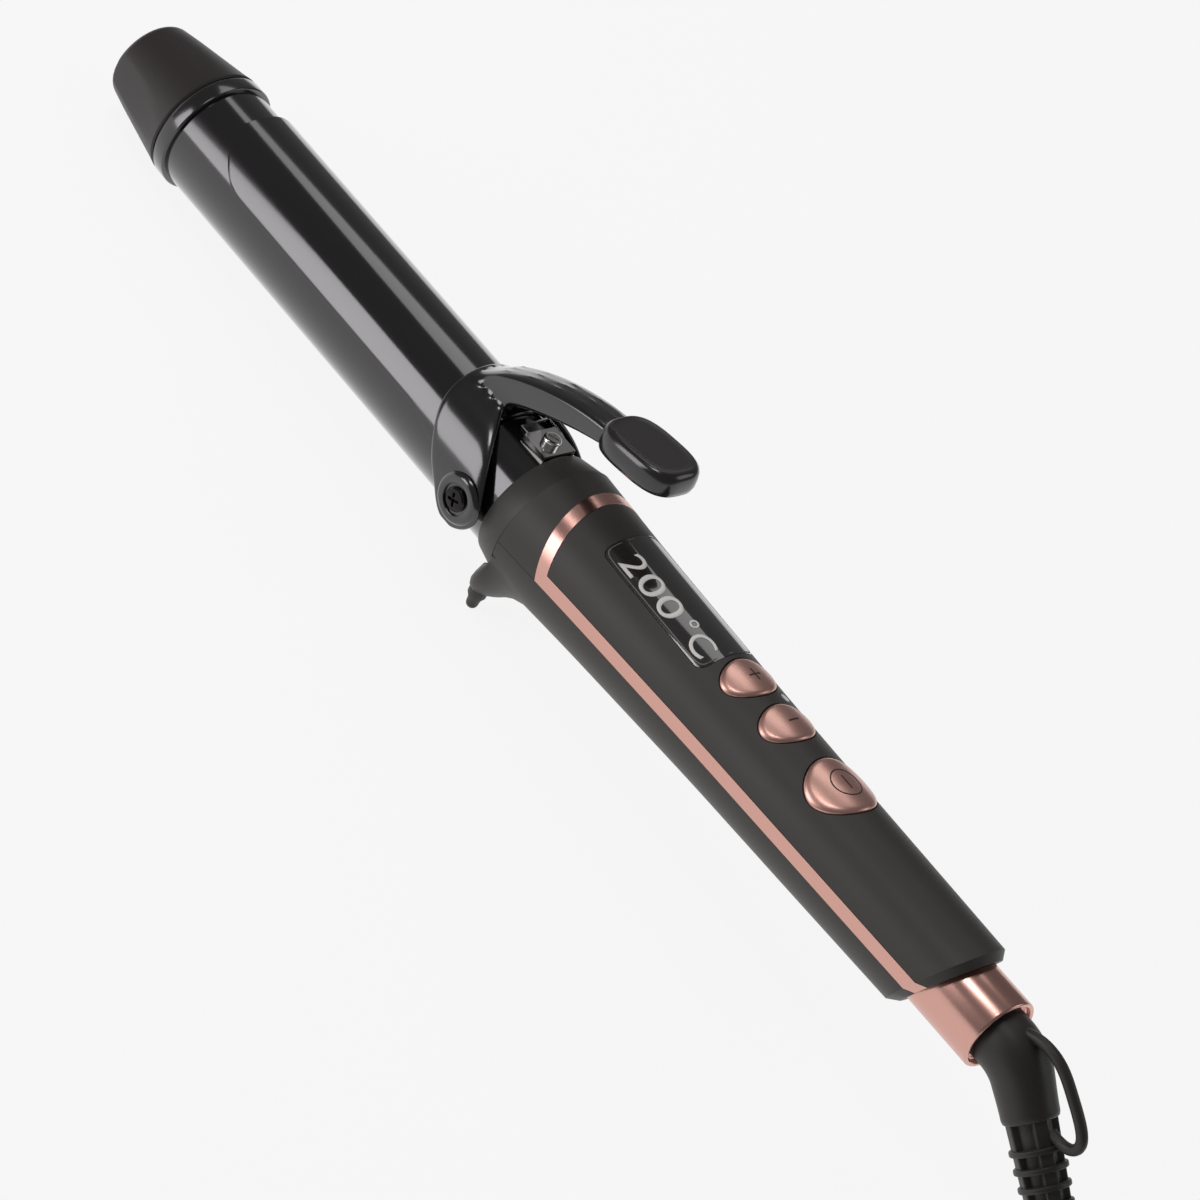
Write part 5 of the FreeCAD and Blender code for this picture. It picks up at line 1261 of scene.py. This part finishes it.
# ---------------------------------------------------------------- swivel, boot and cord
@dataclass
class CordEnd:
    """Rose swivel collar, rubber boot with its hanging loop."""

    collar: tuple[float, float, float] = (152.0, 187.0, 10.6)
    socket: tuple[float, float] = (9.3, 1.6)
    neck: float = 8.1
    elbow_x: float = 194.0
    bend: float = 13.0
    drop: float = math.radians(40)
    tail: float = 41.0
    smooth: float = 15.0
    core: tuple[float, float] = (6.0, 4.9)
    rib_step: float = 1.2
    rib_width: float = 1.5
    rib_pitch: float = 4.5
    loop_radius: float = 1.5

    @property
    def along(self) -> Vector:
        """Direction of the boot's tail."""
        return Vector((math.cos(self.drop), 0.0, -math.sin(self.drop)))

    def tail_point(self, s: float) -> Vector:
        """Point on the tail's axis at a distance from the elbow."""
        return Vector((self.elbow_x, 0, 0)) + self.along * s

    def core_r(self, s: float) -> float:
        """The tail's core radius at a distance from the elbow."""
        return self.core[0] + (self.core[1] - self.core[0]) * (s - self.smooth) / (self.tail - self.smooth)

    def rose_collar(self) -> bmesh.types.BMesh:
        """Polished collar with its socket and bore."""
        start, end, r = self.collar
        socket, depth = self.socket
        bm = lathe([(start, 7.5), (start, r), (end, r), (end, socket), (end - depth, socket), (end - depth, 7.5)], steps=144, closed=True)
        return soften(bm, 0.7, 5)

    def path(self, s: float) -> tuple[Vector, float]:
        """Point and downward turn at a distance along the boot's smooth part."""
        tangent = self.bend * math.tan(self.drop / 2)
        start = self.collar[1] - self.socket[1] + 0.1
        straight = self.elbow_x - tangent - start
        arc = self.bend * self.drop
        if s <= straight:
            return Vector((start + s, 0, 0)), 0.0
        if s <= straight + arc:
            angle = (s - straight) / self.bend
            return Vector((start + straight + self.bend * math.sin(angle), 0, -self.bend * (1 - math.cos(angle)))), angle
        return self.tail_point(tangent + s - straight - arc), self.drop

    def smooth_boot(self) -> bmesh.types.BMesh:
        """Neck, elbow and the plain part of the tail."""
        tangent = self.bend * math.tan(self.drop / 2)
        start = self.collar[1] - self.socket[1] + 0.1
        total = self.elbow_x - tangent - start + self.bend * self.drop + self.smooth - tangent
        count = 26
        sections = []
        for k in range(count + 1):
            s = total * k / count
            point, turn = self.path(s)
            share = smoothstep((s - 5) / (total - 5))
            r = self.neck + (self.core_r(self.smooth) + self.rib_step - self.neck) * share
            if k == count:
                sections.append(self.hoop(point, turn, r - 0.25))
                point = point + self.along * 0.25
                r -= 0.55
            sections.append(self.hoop(point, turn, r))
        return loft(sections, steps=72)

    @staticmethod
    def hoop(point: Vector, turn: float, r: float) -> Section:
        """Ring across the boot's path."""
        up = Vector((math.sin(turn), 0, math.cos(turn)))
        return lambda a: point + Vector((0, 1, 0)) * (r * math.cos(a)) + up * (r * math.sin(a))

    def in_tail(self) -> Matrix:
        """Place of a piece drawn along X from the elbow."""
        return Matrix.Translation((self.elbow_x, 0, 0)) @ Matrix.Rotation(self.drop, 4, "Y")

    def ribs(self) -> list[bmesh.types.BMesh]:
        """Rings, spines and the sleeve of the flexible tail."""
        parts = []
        sleeve = lathe([(self.smooth - 3, 0.0), (self.smooth - 3, self.core_r(self.smooth) - 1.1), (self.tail - 0.6, self.core_r(self.tail) - 1.0),
                        (self.tail, self.core_r(self.tail) - 1.5), (self.tail, 0.0)], steps=56)
        parts.append(sleeve)
        count = int((self.tail - self.smooth) / self.rib_pitch)
        for i in range(count):
            s = self.tail - self.rib_width - i * self.rib_pitch
            r = self.core_r(s) + self.rib_step
            ring = lathe([(s, 2.5), (s, r), (s + self.rib_width, r), (s + self.rib_width, 2.5)], steps=72, closed=True)
            parts.append(soften(ring, 0.4, 3))
        for quarter in range(4):
            bar = block((self.smooth - 2, -1.9, 2.5), (self.tail - 0.8, 1.9, self.core_r(self.smooth) + 0.35))
            for v in bar.verts:
                if v.co.x > self.tail - 2 and v.co.z > 3:
                    v.co.z = self.core_r(self.tail) + 0.3
            upright = [e for e in bar.edges if min(e.verts[0].co.z, e.verts[1].co.z) > 3]
            bmesh.ops.bevel(bar, geom=upright, offset=0.5, offset_type="OFFSET", segments=3, profile=0.5, affect="EDGES", material=-1)
            bmesh.ops.rotate(bar, cent=(0, 0, 0), matrix=Matrix.Rotation(math.radians(28 + 90 * quarter), 3, "X"), verts=bar.verts)
            parts.append(bar)
        for part in parts:
            bmesh.ops.transform(part, matrix=self.in_tail(), verts=part.verts)
        return parts

    def loop_points(self) -> list[Vector]:
        """Route of the hanging loop from the elbow's top back to the ribs."""
        up = Vector((-self.along.z, 0, self.along.x))
        root = Vector((self.elbow_x - 2.0, 0, self.neck - 1.6))
        foot_s = self.smooth + 3.5
        foot = self.tail_point(foot_s) + up * (self.core_r(foot_s) + self.rib_step - 1.6)
        return [root, root + Vector((4.5, 0, 2.4)), root + Vector((12.0, 0, 2.5)), root + Vector((18.5, 0, -1.8)),
                foot + up * 10.4 + self.along * 3.4, foot + up * 4.8 + self.along * 5.6, foot + up * 1.4 + self.along * 2.2, foot]

    def loop(self) -> bmesh.types.BMesh:
        """Flexible loop that hangs the iron on a hook."""
        curve = bpy.data.curves.new("loop", "CURVE")
        curve.dimensions = "3D"
        line = curve.splines.new("NURBS")
        points = self.loop_points()
        line.points.add(len(points) - 1)
        for point, place in zip(line.points, points):
            point.co = (*place, 1.0)
        line.order_u = 4
        line.use_endpoint_u = True
        curve.bevel_depth = self.loop_radius
        curve.bevel_resolution = 7
        curve.resolution_u = 10
        curve.use_fill_caps = True
        return mesh_of(curve)

    def build(self) -> None:
        """Make and dress the swivel's and boot's pieces."""
        Piece("swivel_sleeve", self.rose_collar(), "rose_trim", "swivel_collar", replaces=("swivel_collar",)).add()
        steps = [(part, Cut.JOIN) for part in self.ribs()]
        Piece("strain_boot", carve(self.smooth_boot(), *steps), "boot_rubber", "cord_boot", Body.SWIVEL, replaces=("cord_boot",), sharp=40).add()
        Piece("hook_loop", self.loop(), "boot_rubber", "hanging_loop", Body.SWIVEL, replaces=("hanging_loop",), sharp=60).add()


def mesh_of(curve: bpy.types.Curve) -> bmesh.types.BMesh:
    """Turn a curve into a mesh.

    Args:
        curve: the curve, which is removed.

    Returns:
        Its mesh, with doubles merged.
    """
    obj = bpy.data.objects.new("route", curve)
    bpy.context.scene.collection.objects.link(obj)
    bpy.context.view_layer.update()
    mesh = bpy.data.meshes.new_from_object(obj.evaluated_get(bpy.context.evaluated_depsgraph_get()))
    bpy.data.objects.remove(obj)
    bpy.data.curves.remove(curve)
    bm = bmesh.new()
    bm.from_mesh(mesh)
    bpy.data.meshes.remove(mesh)
    bmesh.ops.remove_doubles(bm, verts=bm.verts, dist=1e-6)
    if bm.faces:
        bmesh.ops.recalc_face_normals(bm, faces=bm.faces)
    return bm


@dataclass
class MainsCord:
    """Mains cord from the boot to its hank and plug. Lengths in metres."""

    radius: float = 0.0031
    length: float = 1.8
    fold: float = 0.0209
    run: float = 0.093
    per_fold: int = 7

    def exit(self) -> Vector:
        """Where the cord leaves the boot."""
        end = CordEnd()
        return AXES.handle @ end.tail_point(end.tail)

    @property
    def floor(self) -> float:
        """Height of the cord's middle where it lies on the table."""
        return self.radius + 0.0001

    def hank_middle(self) -> Vector:
        """Middle of the hank on the table."""
        low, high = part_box("cord_coil")
        return Vector(((low.x + high.x) / 2, (low.y + high.y) / 2, 0.0))

    def slots(self) -> list[tuple[float, float]]:
        """Fold radius and height of each strand, from the top of the hank down."""
        inner, outer = self.fold - self.radius, self.fold + self.radius
        rise = 1.96 * self.radius
        low, mid, top = self.floor, self.floor + rise, self.floor + 2 * rise
        return [(outer, top), (inner, top), (inner, mid), (outer, mid), (inner, low), (outer, low)]

    def lead(self) -> list[Vector]:
        """Route from the boot on to the top of the hank."""
        out = self.exit()
        end = CordEnd()
        ahead = (AXES.handle @ end.tail_point(end.tail + 1) - out).normalized()
        first = out + ahead * 0.0145
        side, top = self.slots()[0]
        start = self.hank_middle().x - self.run / 2
        return [out, out + ahead * 0.007, first, Vector((first.x + 0.0175, -0.003, top - 0.0028)), Vector((start - 0.028, -side + 0.011, top - 0.0006)),
                Vector((start - 0.012, -side + 0.002, top))]

    def fold_point(self, share: float, radius: float) -> Vector:
        """Point on one turn of the hank, from the start of its near run.

        Args:
            share: how far along the turn, 0 to 1.
            radius: the folds' radius there.

        Returns:
            The point, relative to the hank's middle.
        """
        half, bend = self.run / 2, math.pi * self.fold
        way = share * (2 * self.run + 2 * bend)
        if way < self.run:
            return Vector((way - half, -radius, 0))
        way -= self.run
        if way < bend:
            angle = way / self.fold - math.pi / 2
            return Vector((half + radius * math.cos(angle), radius * math.sin(angle), 0))
        way -= bend
        if way < self.run:
            return Vector((half - way, radius, 0))
        angle = (way - self.run) / self.fold + math.pi / 2
        return Vector((-half + radius * math.cos(angle), radius * math.sin(angle), 0))

    def hank(self) -> list[Vector]:
        """Turns of the hank, each strand changing place in a stretch of its own."""
        slots = self.slots()
        middle = self.hank_middle()
        count = 40
        turns = len(slots) - 1
        points = []
        for index in range(turns):
            here, after = slots[index], slots[index + 1]
            begin = 0.30 + 0.14 * (turns - 1 - index)
            for k in range(count):
                part = smoothstep((k / count - begin) / 0.14)
                radius = here[0] + (after[0] - here[0]) * part
                height = here[1] + (after[1] - here[1]) * part
                spot = self.fold_point(k / count, radius)
                points.append(middle + spot + Vector((0, 0, height)))
        return points

    def tail_run(self) -> list[Vector]:
        """Route from the hank's lowest outer strand to the plug."""
        middle = self.hank_middle()
        low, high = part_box("plug_body")
        side, floor = self.slots()[-1]
        level, across = (low.z + high.z) / 2, (low.y + high.y) / 2
        start, end = middle.x - self.run / 2, middle.x + self.run / 2
        return [Vector((start + 0.001, -side, floor)), Vector((middle.x - 0.02, -side, floor)), Vector((middle.x + 0.02, -side, floor)),
                Vector((end - 0.004, -side, floor)), Vector((end + 0.013, -side + 0.0007, floor + 0.0002)),
                Vector((low.x - 0.013, across - 0.0012, level - 0.0006)), Vector((low.x, across, level))]

    def curve(self, depth: float) -> bpy.types.Curve:
        """The cord's line as one NURBS spline.

        Args:
            depth: the tube's radius, or 0 for the bare line.

        Returns:
            The new curve.
        """
        points = self.lead() + self.hank() + self.tail_run()
        curve = bpy.data.curves.new("mains_route", "CURVE")
        curve.dimensions = "3D"
        line = curve.splines.new("NURBS")
        line.points.add(len(points) - 1)
        for point, place in zip(line.points, points):
            point.co = (*place, 1.0)
        line.order_u = 3
        line.use_endpoint_u = True
        curve.resolution_u = 6
        curve.bevel_depth = depth
        curve.bevel_resolution = 5
        curve.use_fill_caps = depth > 0
        return curve

    def plug(self) -> bmesh.types.BMesh:
        """Flat moulded plug with its ridged strain relief."""
        low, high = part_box("plug_body")
        relief = 0.012
        back = low.x + relief
        y, z = (low.y + high.y) / 2, (low.z + high.z) / 2

        def ring(x: float, half_y: float, half_z: float, power: float) -> Section:
            return lambda a: Vector((x, y + oval(half_y, half_z, power, a)[0], z + oval(half_y, half_z, power, a)[1]))

        sections = [ring(low.x, 0.0040, 0.0040, 2), ring(low.x + 0.0002, 0.0043, 0.0043, 2)]
        for k in range(4):
            x = low.x + 0.0016 + k * 0.0026
            r = 0.0044 + 0.0004 * k
            sections += [ring(x, r, r, 2), ring(x + 0.0003, r - 0.0006, r - 0.0006, 2), ring(x + 0.0011, r - 0.0006, r - 0.0006, 2), ring(x + 0.0014, r + 0.0001, r + 0.0001, 2)]
        half, tall = (high.y - low.y) / 2, (high.z - low.z) / 2
        for x, share, rise, power in ((0.0, 0.5, 0.84, 2.3), (0.0012, 0.66, 0.92, 2.6), (0.004, 0.84, 0.97, 3.2), (0.009, 0.95, 1.0, 3.8),
                                      (0.016, 0.99, 1.0, 4.2), (0.028, 1.0, 1.0, 4.4), (0.0345, 0.985, 0.985, 4.4), (0.0356, 0.95, 0.94, 4.2), (0.036, 0.9, 0.88, 4.0)):
            sections.append(ring(back + x, half * share, tall * rise, power))
        return loft(sections, steps=72)

    def build(self) -> None:
        line = mesh_of(self.curve(0.0))
        path = [v.co.copy() for v in self.ordered(line)]
        line.free()
        bm = mesh_of(self.curve(self.radius))
        mesh = bpy.data.meshes.new("mains_lead")
        bm.to_mesh(mesh)
        bm.free()
        for polygon in mesh.polygons:
            polygon.use_smooth = True
        mesh.materials.append(PALETTE["cord_jacket"])
        lead = bpy.data.objects.new("mains_lead", mesh)
        bpy.context.scene.collection.objects.link(lead)
        plug = Piece("plug", self.plug(), "plug_moulding", "plug_body", place=Matrix.Identity(4), replaces=("plug_body",), sharp=50).add()
        tuple(self.exit())
        tuple(self.lead()[4])
        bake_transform(lead)
        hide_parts("mains_cord", "cord_coil", "plug_cord")
        pins = [frame["nodes"]["plug_pin_left"], frame["nodes"]["plug_pin_right"]]
        tuple(self.exit())
        2 * self.radius
        [tuple(p) for p in path]
        log.info("piece mains_lead: %d faces", len(mesh.polygons))

    @staticmethod
    def ordered(bm: bmesh.types.BMesh) -> list[bmesh.types.BMVert]:
        """Vertices of an open line from its start to its end."""
        ends = [v for v in bm.verts if len(v.link_edges) == 1]
        here = min(ends, key=lambda v: v.co.x)
        found, before = [here], None
        while True:
            onward = [e.other_vert(here) for e in here.link_edges if e.other_vert(here) is not before]
            if not onward:
                return found
            before, here = here, onward[0]
            found.append(here)


# ---------------------------------------------------------------- pieces kept from the frame
class Insides:
    """CAD pieces whose shape stays, each with its own finish."""

    FINISH = {
        "bracket_screw": "bright_plating", "spring_bracket": "bright_plating", "return_spring": "spring_steel",
        "hinge_washer_left": "slip_washer", "hinge_washer_right": "slip_washer", "shell_screw_front": "plain_steel",
        "shell_screw_rear": "plain_steel", "plug_pin_left": "nickel_pin", "plug_pin_right": "nickel_pin",
        "barrel_holder": "heat_proof_carrier", "board_carrier": "carrier_plastic", "brush_block": "carrier_plastic",
        "capacitor": "film_capacitor", "ceramic_heater": "white_ceramic", "contact_brush_live": "contact_brass",
        "contact_brush_neutral": "contact_brass", "slip_ring_live": "contact_brass", "slip_ring_neutral": "contact_brass",
        "control_board": "board_green", "power_board": "board_green", "heat_spreader_lower": "extruded_aluminium",
        "heat_spreader_upper": "extruded_aluminium", "thermal_fuse": "extruded_aluminium", "heater_lead_left": "silicone_lead",
        "heater_lead_right": "silicone_lead", "lcd_module": "lcd_glass", "swivel_core": "component_black",
        "switch_minus": "component_black", "switch_plus": "component_black", "switch_power": "component_black",
        "triac": "component_black", "temperature_sensor": "sensor_glass", "tip_insulator": "white_ceramic",
    }

    def build(self) -> None:
        """Give every kept piece its finish."""
        for name, finish in self.FINISH.items():
            obj = frame["nodes"][name]
            if not obj.material_slots:
                obj.data.materials.append(PALETTE[finish])
            for place in obj.material_slots:
                place.material = PALETTE[finish]
            log.info("finish %s on %s", finish, name)


# ---------------------------------------------------------------- studio
@dataclass(frozen=True)
class Lamp:
    """One soft light: where it hangs, where it points and how bright it looks."""

    name: str
    place: tuple[float, float, float]
    target: tuple[float, float, float]
    size: tuple[float, float]
    radiance: float
    color: tuple[float, float, float] = (1.0, 1.0, 1.0)

    def add(self) -> None:
        """Hang the lamp."""
        light = bpy.data.lights.new(self.name, "AREA")
        light.shape = "RECTANGLE"
        light.size, light.size_y = self.size
        light.energy = self.radiance * math.pi * self.size[0] * self.size[1]
        light.color = self.color
        obj = bpy.data.objects.new(self.name, light)
        bpy.context.scene.collection.objects.link(obj)
        obj.location = self.place
        obj.rotation_euler = (Vector(self.target) - Vector(self.place)).to_track_quat("-Z", "Y").to_euler()


class Studio:
    """Pale floor, soft lamps and the camera."""

    LAMPS = (
        Lamp("front_box", (-0.54, -0.88, 0.31), (-0.10, 0.0, 0.03), (0.4, 0.6), 4.4, (1.0, 0.965, 1.0)),
        Lamp("rear_box", (-0.56, 0.33, 0.92), (-0.08, 0.0, 0.03), (0.45, 0.46), 1.7),
        Lamp("handle_box", (-0.28, -0.36, 0.98), (0.10, 0.0, 0.04), (0.22, 0.3), 6.5),
        Lamp("rear_fill", (0.75, 0.85, 0.75), (0.05, 0.0, 0.03), (0.6, 0.6), 1.2),
    )

    def floor(self) -> None:
        """Wide pale floor that keeps a soft shadow and reads as white."""
        bm = bmesh.new()
        bmesh.ops.create_grid(bm, x_segments=8, y_segments=8, size=4.0)
        mesh = bpy.data.meshes.new("floor")
        bm.to_mesh(mesh)
        bm.free()
        floor = bpy.data.objects.new("floor", mesh)
        bpy.context.scene.collection.objects.link(floor)
        material = bpy.data.materials.new("pale_floor")
        material.use_nodes = True
        tree = material.node_tree
        shader = tree.nodes["Principled BSDF"]
        shader.inputs["Roughness"].default_value = 0.9
        shader.inputs["Specular IOR Level"].default_value = 0.1
        where = tree.nodes.new("ShaderNodeTexCoord")
        noise = tree.nodes.new("ShaderNodeTexNoise")
        noise.inputs["Scale"].default_value = 3.0
        tone = tree.nodes.new("ShaderNodeMix")
        tone.data_type = "RGBA"
        tone.inputs[6].default_value = (0.86, 0.855, 0.85, 1)
        tone.inputs[7].default_value = (0.9, 0.895, 0.89, 1)
        tree.links.new(where.outputs["Object"], noise.inputs["Vector"])
        tree.links.new(noise.outputs["Fac"], tone.inputs[0])
        tree.links.new(tone.outputs[2], shader.inputs["Base Color"])
        glow = tree.nodes.new("ShaderNodeEmission")
        glow.inputs["Strength"].default_value = 1.0
        rays = tree.nodes.new("ShaderNodeLightPath")
        seen = tree.nodes.new("ShaderNodeMath")
        seen.operation = "MAXIMUM"
        tree.links.new(rays.outputs["Is Camera Ray"], seen.inputs[0])
        tree.links.new(rays.outputs["Is Glossy Ray"], seen.inputs[1])
        also = tree.nodes.new("ShaderNodeMath")
        also.operation = "MAXIMUM"
        tree.links.new(seen.outputs[0], also.inputs[0])
        tree.links.new(rays.outputs["Is Transmission Ray"], also.inputs[1])
        part = tree.nodes.new("ShaderNodeMath")
        part.operation = "MULTIPLY"
        part.inputs[1].default_value = 0.88
        tree.links.new(also.outputs[0], part.inputs[0])
        blend = tree.nodes.new("ShaderNodeMixShader")
        tree.links.new(part.outputs[0], blend.inputs[0])
        tree.links.new(shader.outputs[0], blend.inputs[1])
        tree.links.new(glow.outputs[0], blend.inputs[2])
        tree.links.new(blend.outputs[0], tree.nodes["Material Output"].inputs["Surface"])
        mesh.materials.append(material)

    def world(self) -> None:
        """Even, quiet surroundings."""
        world = bpy.data.worlds.new("studio")
        world.use_nodes = True
        back = world.node_tree.nodes["Background"]
        back.inputs["Color"].default_value = (0.98, 0.97, 1.0, 1)
        back.inputs["Strength"].default_value = 0.16
        bpy.context.scene.world = world

    def camera(self) -> None:
        """Long lens over the iron, rolled so that the iron runs down to the right."""
        c, s = math.cos(math.radians(25)), math.sin(math.radians(25))
        ce, se = math.cos(math.radians(40)), math.sin(math.radians(40))
        back = Vector((s, -c * ce, c * se))
        level = Vector((c, s * ce, -s * se))
        over = Vector((0, se, ce))
        roll = math.radians(49.3)
        right = level * math.cos(roll) + over * math.sin(roll)
        up = over * math.cos(roll) - level * math.sin(roll)
        spot = Vector((32, 0, 0)) + back * 1400 - over * 2.73
        turn = AXES.barrel.to_3x3().normalized()
        basis = Matrix((turn @ right, turn @ up, turn @ back)).transposed().to_4x4()
        data = bpy.data.cameras.new("view")
        data.sensor_width = 36.0
        data.lens = 5637.8 / 1200 * 36.0
        data.clip_start, data.clip_end = 0.01, 50.0
        camera = bpy.data.objects.new("view", data)
        bpy.context.scene.collection.objects.link(camera)
        camera.matrix_world = Matrix.Translation(AXES.barrel @ spot) @ basis
        bpy.context.scene.camera = camera

    def build(self) -> None:
        """Set up floor, light and camera."""
        self.camera()
        self.floor()
        self.world()
        for lamp in self.LAMPS:
            lamp.add()
        bpy.context.scene.view_settings.view_transform = "Standard"


def main() -> None:
    """Build the iron piece by piece."""
    logging.basicConfig(level=logging.INFO, format="%(name)s %(message)s")
    for part in (Studio(), MainsCord(), Barrel(), Clip(), Handle(), Display(), Buttons(), CordEnd(), Insides()):
        part.build()
        log.info("built %s", type(part).__name__)


if __name__ == "__main__":
    main()
